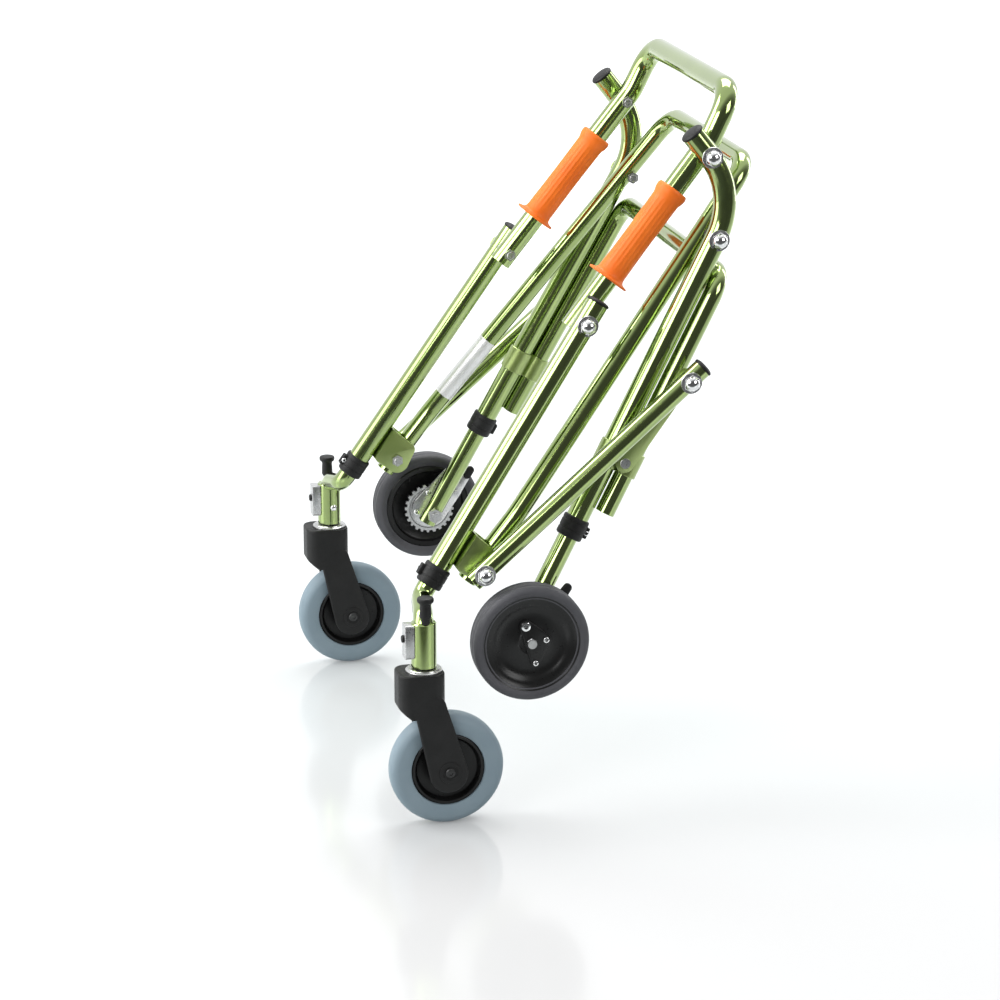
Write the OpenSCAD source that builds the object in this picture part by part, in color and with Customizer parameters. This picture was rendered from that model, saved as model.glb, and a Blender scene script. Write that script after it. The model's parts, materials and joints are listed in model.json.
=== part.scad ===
// Folding posterior walking frame, shown folded on its front casters.
// +X is the rear, +Y is the user's right, +Z is up. All sizes are in millimetres.

/* [Tubes] */
// Outside diameter of the legs and the top rail
tube_d = 25.4; // [25:0.1:26]
// Wall of the legs and the top rail
tube_wall = 1.6; // [1.5:0.1:1.8]
// Outside diameter of the diagonal loop, the rear loop and the side stretchers
brace_d = 22; // [21:0.5:22]
// Wall of those tubes
brace_wall = 1.5; // [1.2:0.1:2]
// Length of a tube beyond the pivot at its end
tube_overhang = 22; // [20:1:24]

/* [Pivots, as seen from the side] */
// Top of the front leg, where the top rail turns: distance behind the caster axle
rail_pivot_x = 175; // [172:1:178]
// Its height
rail_pivot_z = 533; // [530:1:536]
// Bracket low on the front leg: distance behind the caster axle
low_pivot_x = 48; // [47:0.5:49]
// Its height
low_pivot_z = 274; // [273:0.5:275]
// Rear end of the top rail, where the rear leg turns
leg_pivot_x = 315; // [314:0.5:316]
// Its height
leg_pivot_z = 711; // [710:0.5:712]
// Pivot between the rear leg and the diagonal loop
loop_pivot_x = 323; // [322:0.5:324]
// Its height
loop_pivot_z = 620; // [619:0.5:621]
// Elbow of the folding side stretcher
elbow_x = 279; // [278:0.5:280]
// Its height
elbow_z = 475; // [474:0.5:476]

/* [Widths, from the middle plane to a tube's axis] */
// Front leg at its collar
leg_collar_y = 224; // [222:1:226]
// Front leg at the top rail's pivot
leg_top_y = 196; // [195:1:197]
// Top rail at its front pivot
rail_front_y = 167; // [166:1:168]
// Top rail at its rear corner
rail_corner_y = 157.5; // [157:0.5:158]
// Caster, and the stem above it
caster_y = 274; // [272:1:276]
// Rear wheel
rear_wheel_y = 267; // [266:0.5:268]

/* [Wheels] */
// Diameter of a front caster's tyre
caster_d = 127; // [124:1:128]
// Width of a front caster's tyre
caster_w = 28; // [26:1:30]
// Diameter of a rear wheel's tyre
rear_wheel_d = 130; // [126:1:131]
// Width of a rear wheel's tyre
rear_wheel_w = 30; // [28:1:30]
// Distance from the swivel axis back to the caster's axle
caster_trail = 24; // [22:1:26]

/* [Grips] */
// Outside diameter of a grip
grip_d = 32; // [30:1:34]
// Length of a grip
grip_len = 122; // [115:1:125]
// Diameter of the guard at the front of a grip
grip_guard_d = 49; // [44:1:52]

/* [Hidden] */
$fn = 48;

// Colours
lime = "yellowgreen";
black = "dimgray";
steel = "silver";

// Fits
running = 0.05;   // radial clearance of a sliding or turning fit
layer_gap = 1;    // gap between two flat faces that turn past each other
bolt_r = 4;
dome_r = 10;
dome_h = 6.5;
seat = 1;          // a domed nut's distance from its tube, which leans past it

tube_r = tube_d / 2;
brace_r = brace_d / 2;
inner_r = tube_r - tube_wall - running;   // telescoping tube that slides inside a leg
inner_wall = 2;
bend_extra = 0.05;         // how much fuller a tube is round a bend

// Front leg: a straight tube from its collar up past the top rail's pivot
collar_x = -2;
collar_z = 267;
collar_len = 24;
collar_r = 15;
leg_foot = [collar_x, leg_collar_y, collar_z];
leg_head = [rail_pivot_x, leg_top_y, rail_pivot_z];
leg_dir = unit(leg_head - leg_foot);
leg_slope = atan2(rail_pivot_z - collar_z, rail_pivot_x - collar_x);

// Front bracket: two cheeks behind the leg, with the diagonal loop's foot between them
loop_foot_y = 222;
cheek_t = 3;
cheek_gap = brace_r + 0.5;
cheek_out = loop_foot_y + cheek_gap + cheek_t;

// Top rail: slopes up from its front pivot, bends up behind the rear pivot, and crosses over
rail_slope = atan2(leg_pivot_z - rail_pivot_z, leg_pivot_x - rail_pivot_x);
rail_len = norm([leg_pivot_x - rail_pivot_x, leg_pivot_z - rail_pivot_z]);
rail_tail = [34, 64];      // rear corner, from the rear pivot, along X and Z
rail_front_end = 14;       // length of the rail below its front pivot
rail_dy = (rail_corner_y - rail_front_y) / (rail_len + norm(rail_tail));
rail_rear_y = rail_front_y + rail_dy * rail_len;

// Rear leg: a straight tube up to the loop pivot, then an arc to the rail's rear pivot
leg_angle = 61.7;          // slope of the straight part
u_leg = [cos(leg_angle), 0, sin(leg_angle)];
n_leg = [sin(leg_angle), 0, -cos(leg_angle)];
arc_chord = [leg_pivot_x - loop_pivot_x, leg_pivot_z - loop_pivot_z];
arc_half = atan2(arc_chord.y, arc_chord.x) - leg_angle;
arc_r = norm(arc_chord) / (2 * sin(arc_half));
arc_tangent = arc_r * tan(arc_half);
rear_leg_y = 189;          // at the top of the rear leg
rear_leg_dy = 0.076;       // how far it leans out for each millimetre down
rear_collar_s = 352;       // collar, measured down the leg from the loop pivot
rear_axle_s = 479;         // axle of the rear wheel, likewise
collar_pocket = 10;        // how far a leg tube reaches down past the middle of its collar
rear_tube_end_s = rear_collar_s + collar_pocket;

// Diagonal loop
loop_corner = [371, 147.5, 693];
loop_kink = 70;            // length of the straight foot above the front bracket
loop_slope = atan2(loop_pivot_z - low_pivot_z, loop_pivot_x - low_pivot_x);
loop_len = norm([loop_pivot_x - low_pivot_x, loop_pivot_z - low_pivot_z]);

// Rear loop, behind the rear legs
rear_loop_offset = 25;     // distance behind the legs' axes
rear_loop_out = 3;         // and outside them
rear_loop_top_s = 33;
rear_loop_end_s = 323;
rear_loop_corner_r = 30;

// Side stretcher and its rear link
link_pin_s = 262;          // the link's pivot, down the leg from the loop pivot
link_pin_offset = 15;
link_t = 4;
link_in = 229.1;           // inner face of the link
link_out = link_in + link_t;
stretcher_front_y = cheek_out + layer_gap + 0.6 + brace_r;
stretcher_rear_y = link_out + layer_gap + brace_r;
elbow = [elbow_x, elbow_z];
link_pin = [at_leg(link_pin_s, link_pin_offset).x, at_leg(link_pin_s, link_pin_offset).z];

// Caster
axle_z = caster_d / 2;
swivel_x = -caster_trail;
fork_top = 177;
fork_crown = 139;
sleeve_bottom = 181;
sleeve_top = 232;
sleeve_r = 14;
stem_r = 6;
lock_offset = 10;          // lock pin, outboard of the swivel axis
lock_pin_r = 2.5;
fork_arm_t = 6;
fork_arm_in = caster_w / 2 + 3;

// The whole model stands with the middle of its box over the origin
front_edge = -caster_d / 2;
rear_edge = loop_corner.x + brace_r + bend_extra;
x_shift = -(front_edge + rear_edge) / 2;

// ---------- helpers ----------

function unit(v) = v / norm(v);

// A point beside the rear leg: s down from the loop pivot, off behind the axis
function at_leg(s, off = 0) =
    [loop_pivot_x, 0, loop_pivot_z] - s * u_leg + off * n_leg
    + [0, rear_leg_y + rear_leg_dy * (s + arc_tangent), 0];

// A point on the top rail, s up from its front pivot
function at_rail(s) = [
    rail_pivot_x + s * cos(rail_slope), rail_front_y + rail_dy * s, rail_pivot_z + s * sin(rail_slope)
];

// A point on the front leg, s up from the middle of its collar
function at_front_leg(s) = leg_foot + s * leg_dir;

// A point on the diagonal loop's foot, s up from its front pivot
function at_loop_foot(s) =
    [low_pivot_x + s * cos(loop_slope), loop_foot_y, low_pivot_z + s * sin(loop_slope)];

// Where the diagonal loop passes the rear leg
loop_side = unit(loop_corner - at_loop_foot(loop_kink));
loop_at_pivot_y = loop_foot_y + loop_side.y / norm([loop_side.x, loop_side.z]) * (loop_len - loop_kink);

// Places its children on the right side, or mirrored on the left, in the part's own frame
module place(side) {
    translate([x_shift, 0, 0])
        if (side < 0) mirror([0, 1, 0]) children();
        else children();
}

module both() {
    place(1) children();
    place(-1) children();
}

// Turns local X, Y, Z onto three unit vectors at a point
module frame_at(p, x, y, z) {
    multmatrix([
        [x.x, y.x, z.x, p.x], [x.y, y.y, z.y, p.y], [x.z, y.z, z.z, p.z], [0, 0, 0, 1]
    ]) children();
}

// Points local Z along a direction
module aim(p, dir) {
    translate(p) rotate([0, acos(dir.z / norm(dir)), atan2(dir.y, dir.x)]) children();
}

module rod(a, b, r) {
    aim(a, b - a) cylinder(r = r, h = norm(b - a));
}

// A cylinder along Y
module y_rod(x, z, y0, y1, r) {
    translate([x, y0, z]) rotate([-90, 0, 0]) cylinder(r = r, h = y1 - y0);
}

// A rod along a line of points, with a round bend of the given radius at each inner one.
// Each straight runs 1 mm into the bends beside it, and a bend is a hair fuller, as a drawn bend is.
module bent_rod(pts, bends, r) {
    n = len(pts);
    t = [for (i = [0:n - 1]) i == 0 || i == n - 1 ? 0 : bends[i - 1] * tan(turn_at(pts, i) / 2) - 1];
    for (i = [0:n - 2]) {
        d = unit(pts[i + 1] - pts[i]);
        rod(pts[i] + t[i] * d, pts[i + 1] - t[i + 1] * d, r);
    }
    for (i = [1:1:n - 2]) elbow_rod(pts, i, bends[i - 1], t[i] + 1, r + bend_extra);
}

function turn_at(pts, i) = acos(unit(pts[i] - pts[i - 1]) * unit(pts[i + 1] - pts[i]));

module elbow_rod(pts, i, bend, t, r) {
    u = unit(pts[i] - pts[i - 1]);
    w = unit(pts[i + 1] - pts[i]);
    m = unit(w - (w * u) * u);
    frame_at(pts[i] - t * u + bend * m, -m, u, cross(u, m))
        rotate_extrude(angle = turn_at(pts, i)) translate([bend, 0]) circle(r = r);
}

// Moves the two ends of a line of points outwards
function stretched(pts, by) = [
    for (i = [0:len(pts) - 1])
        i == 0 ? pts[0] + by * unit(pts[0] - pts[1])
        : i == len(pts) - 1 ? pts[i] + by * unit(pts[i] - pts[i - 1])
        : pts[i]
];

module pipe(pts, bends, r, wall) {
    difference() {
        bent_rod(pts, bends, r);
        bent_rod(stretched(pts, 1), bends, r - wall);
    }
}

// A pivot bolt along Y with a domed chrome head outboard, from y0 out to y1
module dome_bolt(x, z, y0, y1, nut = true) {
    translate([x, 0, z]) rotate([-90, 0, 0]) rotate_extrude()
        polygon(concat(
            [[0, y0], [nut ? 6.5 : bolt_r, y0], [nut ? 6.5 : bolt_r, y0 + (nut ? 4 : 0)],
             [bolt_r, y0 + (nut ? 4 : 0)], [bolt_r, y1], [dome_r, y1]],
            [for (a = [15:15:75]) [dome_r * cos(a), y1 + 1.5 + (dome_h - 1.5) * sin(a)]],
            [[0, y1 + dome_h]]
        ));
}

// A black plug in the end of a tube, dir pointing out of the tube
module end_plug(p, dir, r, wall) {
    aim(p, dir) rotate_extrude()
        polygon([[0, -10], [r - wall, -10], [r - wall, 0], [r - 0.4, 0], [r - 0.4, 1.6],
                 [r - 2.4, 3.2], [0, 3.2]]);
}

// ---------- front legs ----------

leg_top = leg_head + (tube_overhang + 4) * leg_dir;

module front_leg() {
    color(lime) difference() {
        pipe([at_front_leg(-collar_pocket), leg_top], [], tube_r, tube_wall);
        y_rod(rail_pivot_x, rail_pivot_z, leg_top_y - 20, leg_top_y + 20, bolt_r);
    }
}

// Cheek outline, with local X up the leg and local Y behind it, and the pivot's place on it
foot_of_pivot = (low_pivot_x - collar_x) * cos(leg_slope) + (low_pivot_z - collar_z) * sin(leg_slope);
pivot_behind = (low_pivot_x - collar_x) * sin(leg_slope) - (low_pivot_z - collar_z) * cos(leg_slope);

module cheek_outline() {
    web_top = tube_r + 0.2;
    hull() {
        translate([foot_of_pivot - 12, web_top]) square([42, 3]);
        translate([foot_of_pivot + 15, pivot_behind + 5]) circle(r = 9, $fn = 32);
        translate([foot_of_pivot + 1, pivot_behind + 2]) circle(r = 14, $fn = 32);
        translate([foot_of_pivot - 4, pivot_behind - 4]) circle(r = 11, $fn = 32);
    }
}

module front_bracket() {
    color(lime) difference() {
        translate([collar_x, 0, collar_z]) rotate([0, -leg_slope, 0]) rotate([90, 0, 0]) {
            for (y = [loop_foot_y - cheek_gap, loop_foot_y + cheek_gap + cheek_t])
                translate([0, 0, -y]) linear_extrude(cheek_t) mirror([0, 1]) cheek_outline();
            translate([foot_of_pivot - 12, -tube_r - 2.7, -loop_foot_y - cheek_gap])
                cube([42, 2.5, 2 * cheek_gap]);
        }
        y_rod(low_pivot_x, low_pivot_z, loop_foot_y - 30, loop_foot_y + 30, bolt_r);
    }
}

// A moulded clamp collar on the end of a leg tube, closed to the thinner tube below
module clamp_collar(p, dir, ear_x) {
    aim(p, dir) difference() {
        union() {
            rotate_extrude() polygon([
                [8, -collar_len / 2], [collar_r - 1.5, -collar_len / 2], [collar_r, 1.5 - collar_len / 2],
                [collar_r, collar_len / 2 - 1.5], [collar_r - 1, collar_len / 2], [8, collar_len / 2]
            ]);
            translate([ear_x * (collar_r - 3), 0, 0]) rotate([90, 0, 0])
                linear_extrude(10, center = true) polygon([[0, -8], [ear_x * 6, -6], [ear_x * 6, 6], [0, 8]]);
        }
        translate([0, 0, -collar_pocket - 0.1]) cylinder(r = tube_r, h = 60);
        translate([0, 0, -40]) cylinder(r = inner_r + running, h = 60);
    }
}

module front_collar() {
    color(black) clamp_collar(leg_foot, leg_dir, -1);
}

// ---------- top rail ----------

rail_corner_r = 32;

module top_rail() {
    pts = rail_points();
    color(lime) difference() {
        pipe(pts, [60, rail_corner_r, rail_corner_r, 60], tube_r, tube_wall);
        for (s = [-1, 1]) {
            y_rod(rail_pivot_x, rail_pivot_z, s * rail_front_y - 20, s * rail_front_y + 20, bolt_r + running);
            y_rod(leg_pivot_x, leg_pivot_z, s * rail_rear_y - 20, s * rail_rear_y + 20, bolt_r);
        }
    }
}

function rail_points() =
    let (front = at_rail(-rail_front_end), knee = at_rail(rail_len + 14),
         corner = [leg_pivot_x + rail_tail.x, rail_corner_y, leg_pivot_z + rail_tail.y])
    [front, knee, corner, flip(corner), flip(knee), flip(front)];

function flip(p) = [p.x, -p.y, p.z];

grip_start = 53;           // front of the grip, up the rail from its front pivot

module grip() {
    guard = grip_guard_d / 2;
    r = grip_d / 2;
    color("darkorange") aim(at_rail(grip_start), at_rail(100) - at_rail(0)) rotate_extrude()
        polygon([
            [tube_r, 0], [guard - 1, 0], [guard, 1], [guard, 2.2], [guard - 1.5, 3], [r + 2, 4.5], [r, 8],
            [r - 0.5, grip_len * 0.4], [r, grip_len - 14], [r + 2.2, grip_len - 8], [r + 2.4, grip_len - 3],
            [r + 1, grip_len], [tube_r, grip_len]
        ]);
}

// ---------- rear frame ----------

rear_top_dir = [cos(leg_angle + 2 * arc_half), 0, sin(leg_angle + 2 * arc_half)];

function rear_leg_points() =
    let (knee = at_leg(-arc_tangent))
    [at_leg(rear_tube_end_s), knee, [leg_pivot_x, knee.y, leg_pivot_z] + (tube_overhang + 9) * rear_top_dir];

module rear_leg() {
    color(lime) difference() {
        pipe(rear_leg_points(), [arc_r], tube_r, tube_wall);
        y_rod(loop_pivot_x, loop_pivot_z, 150, 250, bolt_r);
        y_rod(leg_pivot_x, leg_pivot_z, 150, 250, bolt_r + running);
    }
}

function rear_loop_points() =
    let (end = at_leg(rear_loop_end_s, rear_loop_offset) + [0, rear_loop_out, 0],
         corner = at_leg(rear_loop_top_s, rear_loop_offset - 0.6) + [0, rear_loop_out, 0])
    [end, corner, flip(corner), flip(end)];

module rear_loop() {
    color(lime) translate([x_shift, 0, 0])
        pipe(rear_loop_points(), [rear_loop_corner_r, rear_loop_corner_r], brace_r, brace_wall);
}

// A saddle plate that joins the rear leg and the rear loop, with the stud for the stretcher's link
module link_bracket() {
    c = at_leg(link_pin_s);
    axis = unit(at_leg(0) - at_leg(100));
    loop = rear_loop_points();
    along = unit(loop[1] - loop[0]);
    arm = loop[0] + (rear_loop_end_s - link_pin_s) * along;
    color(lime) difference() {
        union() {
            rod(c - 14 * axis, c + 14 * axis, tube_r + 2);
            rod(arm - 14 * along, arm + 14 * along, brace_r + 2);
        }
        rod(c - 20 * axis, c + 20 * axis, tube_r);
        rod(arm - 20 * along, arm + 20 * along, brace_r);
        translate([-200, link_in - 0.6, -200]) cube([1000, 100, 1000]);
    }
}

module rear_collar() {
    color(black) clamp_collar(at_leg(rear_collar_s), at_leg(0) - at_leg(100), 1);
}

// ---------- diagonal loop ----------

function loop_points() =
    [at_loop_foot(-tube_overhang + 2), at_loop_foot(loop_kink), loop_corner,
     flip(loop_corner), flip(at_loop_foot(loop_kink)), flip(at_loop_foot(-tube_overhang + 2))];

module diagonal_loop() {
    color(lime) translate([x_shift, 0, 0]) difference() {
        pipe(loop_points(), [80, 34, 34, 80], brace_r, brace_wall);
        for (s = [-1, 1]) {
            y_rod(low_pivot_x, low_pivot_z, s * loop_foot_y - 20, s * loop_foot_y + 20, bolt_r + running);
            y_rod(loop_pivot_x, loop_pivot_z, s * loop_at_pivot_y - 20, s * loop_at_pivot_y + 20, bolt_r);
        }
    }
}

// The half of the loop pivot that stays with the diagonal loop: a nut inboard and a washer outboard
module loop_nut() {
    y = loop_at_pivot_y;
    color(steel) {
        translate([loop_pivot_x, y - brace_r - 6.3, loop_pivot_z]) rotate([-90, 0, 0])
            cylinder(r = 7, h = 5, $fn = 6);
        y_rod(loop_pivot_x, loop_pivot_z, y - brace_r - 6.3, y + brace_r + 1.5, bolt_r);
    }
}

label_start = 98;
label_end = 185;

module label_sleeve() {
    d = loop_side;
    a = at_loop_foot(loop_kink) + (label_start - loop_kink) * d;
    color(steel) aim(a, d) difference() {
        cylinder(r = brace_r + 0.3, h = label_end - label_start);
        translate([0, 0, -1]) cylinder(r = brace_r, h = label_end - label_start + 2);
    }
}

// ---------- folding side stretcher ----------

module stretcher() {
    front = [low_pivot_x, stretcher_front_y, low_pivot_z];
    rear = [elbow_x, stretcher_rear_y, elbow_z];
    d = unit(rear - front);
    color(lime) difference() {
        pipe([front - 15 * d, rear + (tube_overhang - 2) * d], [], brace_r, brace_wall);
        y_rod(low_pivot_x, low_pivot_z, stretcher_front_y - 20, stretcher_front_y + 20, bolt_r + running);
        y_rod(elbow_x, elbow_z, stretcher_rear_y - 20, stretcher_rear_y + 20, bolt_r);
    }
}

module elbow_bolt() {
    color(steel) {
        dome_bolt(elbow_x, elbow_z, link_in - 0.3, stretcher_rear_y + brace_r, false);
        y_rod(elbow_x, elbow_z, link_in - 2, link_in - 0.3, 7);
    }
}

module rear_link() {
    color(lime) translate([0, link_in, 0]) rotate([-90, 0, 0]) difference() {
        linear_extrude(link_t) hull() {
            translate([elbow.x, -elbow.y]) circle(r = 10.5, $fn = 32);
            translate([link_pin.x, -link_pin.y]) circle(r = 10.5, $fn = 32);
        }
        translate([elbow.x, -elbow.y, -1]) cylinder(r = bolt_r + running, h = link_t + 2);
    }
    color(steel) y_rod(link_pin.x, link_pin.y, link_out, link_out + 0.7, 6);
}

// ---------- front extension, lock and caster ----------

ext_bend = at_front_leg(-26);

module front_extension() {
    top = at_front_leg(120);
    knee = [swivel_x, caster_y, sleeve_top + 2];
    color(lime) difference() {
        union() {
            bent_rod([top, ext_bend, knee, [swivel_x, caster_y, sleeve_bottom + 20]], [16, 18], inner_r);
            translate([swivel_x, caster_y, sleeve_bottom])
                cylinder(r = sleeve_r, h = sleeve_top - sleeve_bottom);
        }
        rod(top + leg_dir, at_front_leg(-8), inner_r - inner_wall);
        translate([swivel_x, caster_y, sleeve_bottom - 1]) cylinder(r = stem_r + running, h = 42);
        translate([swivel_x, caster_y + lock_offset, 0]) {
            translate([0, 0, sleeve_bottom - 1]) cylinder(r = lock_pin_r + running, h = 100);
            translate([0, 0, sleeve_top]) cylinder(r = 9.6, h = 60);
        }
    }
}

// A spring clip of bent steel on the front of the sleeve, held by one screw
module lock_clip() {
    color(steel) translate([swivel_x, caster_y, 0]) {
        translate([-sleeve_r - 8, -8, 193]) difference() {
            cube([10, 16, 37]);
            translate([2, -1, 2]) cube([7, 18, 33]);
            translate([sleeve_r + 8, 8, -1]) cylinder(r = sleeve_r, h = 40);
        }
        translate([-sleeve_r - 10, 0, 214]) rotate([0, 90, 0]) cylinder(r = 3.2, h = 2);
    }
}

lock_rest_gap = 0.4;

module lock_knob() {
    color(black) translate([swivel_x, caster_y + lock_offset, 0]) {
        translate([0, 0, fork_top + 3 + lock_rest_gap + 1]) cylinder(r = lock_pin_r, h = 60);
        translate([0, 0, sleeve_top + 0.4]) rotate_extrude() polygon([
            [0, 0], [4, 0], [4, 4], [6.5, 6], [6, 20], [6.5, 24], [9, 26], [9, 29], [7.5, 31], [0, 31]
        ]);
    }
}

module caster_stem() {
    color(steel) translate([swivel_x, caster_y, 0]) rotate_extrude() polygon([
        [0, fork_crown + 6], [stem_r, fork_crown + 6], [stem_r, fork_top], [17, fork_top],
        [18, fork_top + 1.5], [17, fork_top + 3], [stem_r, fork_top + 3], [stem_r, sleeve_bottom + 40],
        [0, sleeve_bottom + 40]
    ]);
}

// The fork: a rounded housing for the stem, and an arm down each side of the wheel to the axle
module fork_arm_outline() {
    hull() {
        translate([-1, axle_z - 2]) circle(r = 21.5, $fn = 64);
        translate([-27, fork_crown - 6]) circle(r = 11, $fn = 48);
        translate([-15, fork_crown + 2]) circle(r = 11, $fn = 48);
    }
}

// The housing seen from above
module fork_plan(half) {
    corner = 14;
    hull() for (x = [swivel_x - 17, swivel_x + 7], y = [corner - half, half - corner])
        translate([x, y]) circle(r = corner, $fn = 48);
}

// The housing seen from the side: its nose is cut back below, and it follows the tyre
module fork_housing_outline() {
    polygon([
        [-60, fork_top], [-60, fork_crown + 3], [-39, fork_crown - 15], [-30, fork_crown - 12],
        [-18, fork_crown - 8], [-3, fork_crown - 5.5], [5, fork_crown - 5], [5, fork_top]
    ]);
}

module caster_fork() {
    half = fork_arm_in + fork_arm_t;
    color(black) difference() {
        union() {
            intersection() {
                translate([0, caster_y, fork_crown - 20])
                    linear_extrude(fork_top - fork_crown + 20) fork_plan(half);
                translate([0, caster_y + half + 1, 0]) rotate([90, 0, 0])
                    linear_extrude(2 * half + 2) fork_housing_outline();
            }
            for (y = [caster_y + half, caster_y - fork_arm_in]) translate([0, y, 0]) rotate([90, 0, 0])
                linear_extrude(fork_arm_t) fork_arm_outline();
        }
        y_rod(0, axle_z, caster_y - half - 1, caster_y + half + 1, bolt_r);
        translate([swivel_x, caster_y, fork_crown + 6]) cylinder(r = stem_r, h = 60);
        y_rod(0, axle_z, caster_y - fork_arm_in, caster_y + fork_arm_in, caster_d / 2 + 6);
    }
}

module caster_axle() {
    half = fork_arm_in + fork_arm_t;
    color(steel) {
        y_rod(0, axle_z, caster_y - half, caster_y + half, bolt_r);
        for (s = [-1, 1]) translate([0, caster_y + s * half + (s > 0 ? 0 : -3.5), axle_z])
            rotate([-90, 0, 0]) cylinder(r = 6.5, h = 3.5, $fn = 6);
    }
}

// A wheel's hub: a drum with a dished web and a bored boss, turning about Y
module wheel_hub(rim, w, boss_r, bore_r, web) {
    rotate([-90, 0, 0]) rotate_extrude($fn = 96) polygon([
        [bore_r, -w / 2 - 1.5], [boss_r, -w / 2 - 1.5], [boss_r + 2, -web], [rim - 6, -web - 1],
        [rim - 5, -w / 2 + 3], [rim, -w / 2 + 3], [rim, w / 2 - 3], [rim - 5, w / 2 - 3],
        [rim - 6, web + 1], [boss_r + 2, web], [boss_r, w / 2 + 1.5], [bore_r, w / 2 + 1.5]
    ]);
}

// A solid tyre with rounded shoulders around a rim
module wheel_tyre(rim, r, w, shoulder) {
    rotate([-90, 0, 0]) rotate_extrude($fn = 96) polygon(concat(
        [[rim, -w / 2 + 1], [rim + 1, -w / 2]],
        [for (a = [0:15:90]) [r - shoulder + shoulder * sin(a), -w / 2 + shoulder - shoulder * cos(a)]],
        [for (a = [0:15:90]) [r - shoulder + shoulder * cos(a), w / 2 - shoulder + shoulder * sin(a)]],
        [[rim + 1, w / 2], [rim, w / 2 - 1]]
    ));
}

caster_rim = 40.6;

module caster_hub() {
    color(black) translate([0, caster_y, axle_z])
        wheel_hub(caster_rim, caster_w, 11, bolt_r + running, 5);
}

module caster_tyre() {
    color("lightslategray") translate([0, caster_y, axle_z])
        wheel_tyre(caster_rim, caster_d / 2, caster_w, 9);
}

// ---------- rear extension, ratchet and wheel ----------

rear_axle_point = at_leg(rear_axle_s);
rear_axle_r = 5;
rear_rim = 50;
plate_in = rear_axle_point.y + inner_r + 1.3;
plate_t = 3;
drum_in = plate_in + plate_t + layer_gap;
drum_out = rear_wheel_y - rear_wheel_w / 2 - 1.5;

module rear_extension() {
    p = rear_axle_point;
    color(lime) difference() {
        pipe([at_leg(rear_axle_s + 14), at_leg(rear_tube_end_s - 100)], [], inner_r, inner_wall);
        y_rod(p.x, p.z, p.y - 20, p.y + 20, rear_axle_r);
    }
}

// The fixed plate of the one-way brake, with its lever's pivot above the axle
lever_pin_s = rear_axle_s - 34;
lever_pin_off = 17;

module ratchet_plate() {
    pin = at_leg(lever_pin_s, lever_pin_off);
    nose = at_leg(lever_pin_s - 14, 2);
    color(steel) {
        difference() {
            translate([0, plate_in + plate_t, 0]) rotate([90, 0, 0]) linear_extrude(plate_t) hull() {
                translate([rear_axle_point.x, rear_axle_point.z]) circle(r = 22, $fn = 32);
                translate([pin.x, pin.z]) circle(r = 9, $fn = 32);
                translate([nose.x, nose.z]) circle(r = 10, $fn = 32);
            }
            y_rod(rear_axle_point.x, rear_axle_point.z, plate_in - 1, plate_in + 5, rear_axle_r);
        }
        y_rod(pin.x, pin.z, plate_in - 9, plate_in, 3);
    }
}

// The lever that sets the brake free or lets it bite, turning on the plate's pin
module ratchet_lever() {
    pin = at_leg(lever_pin_s, lever_pin_off);
    tip = at_leg(lever_pin_s - 32, lever_pin_off + 4);
    color(steel) difference() {
        translate([0, plate_in - 1, 0]) rotate([90, 0, 0]) linear_extrude(5) hull() {
            translate([pin.x, pin.z]) circle(r = 6.5, $fn = 32);
            translate([tip.x, tip.z]) circle(r = 4, $fn = 32);
        }
        y_rod(pin.x, pin.z, plate_in - 20, plate_in + 20, 3 + running);
    }
}

module rear_axle() {
    p = rear_axle_point;
    color(steel) {
        y_rod(p.x, p.z, p.y - inner_r - 8, rear_wheel_y + rear_wheel_w / 2 + 4, rear_axle_r);
        translate([p.x, p.y - inner_r - 8, p.z]) rotate([-90, 0, 0]) cylinder(r = 9, h = 7, $fn = 6);
        y_rod(p.x, p.z, rear_wheel_y + rear_wheel_w / 2 + 2.5, rear_wheel_y + rear_wheel_w / 2 + 7, 8);
    }
}

module ratchet_drum() {
    p = rear_axle_point;
    teeth = 24;
    color(steel) translate([p.x, drum_in, p.z]) rotate([-90, 0, 0]) difference() {
        union() {
            cylinder(r = 28, h = drum_out - drum_in);
            for (i = [0:teeth - 1]) rotate(i * 360 / teeth) translate([28, 0, (drum_out - drum_in) / 2])
                cube([5, 3.4, drum_out - drum_in], center = true);
        }
        translate([0, 0, -1]) cylinder(r = rear_axle_r + running, h = 40);
    }
}

module rear_hub() {
    color(black) translate([rear_axle_point.x, rear_wheel_y, rear_axle_point.z])
        wheel_hub(rear_rim, rear_wheel_w, 14, rear_axle_r + running, 7);
}

module rear_tyre() {
    color("gray") translate([rear_axle_point.x, rear_wheel_y, rear_axle_point.z])
        wheel_tyre(rear_rim, rear_wheel_d / 2, rear_wheel_w, 5);
}

// ---------- pivots ----------

module rail_pivot_bolt() {
    color(steel)
        dome_bolt(rail_pivot_x, rail_pivot_z, rail_front_y - tube_r - 4.5, leg_top_y + tube_r + seat);
}

module low_pivot_bolt() {
    inner = loop_foot_y - cheek_gap - cheek_t - 4.5;
    color(steel) dome_bolt(low_pivot_x, low_pivot_z, inner, stretcher_front_y + brace_r + 0.3);
}

module leg_pivot_bolt() {
    color(steel)
        dome_bolt(leg_pivot_x, leg_pivot_z, rail_rear_y - tube_r - 4.5, rear_leg_y + tube_r + seat / 2);
}

// The half of the loop pivot that stays with the rear leg: it stops short of the diagonal loop
module loop_pivot_bolt() {
    inner = loop_at_pivot_y + brace_r + 2.2;
    color(steel) dome_bolt(loop_pivot_x, loop_pivot_z, inner, at_leg(0).y + tube_r + seat, false);
}

// ---------- nodes ----------

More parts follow.
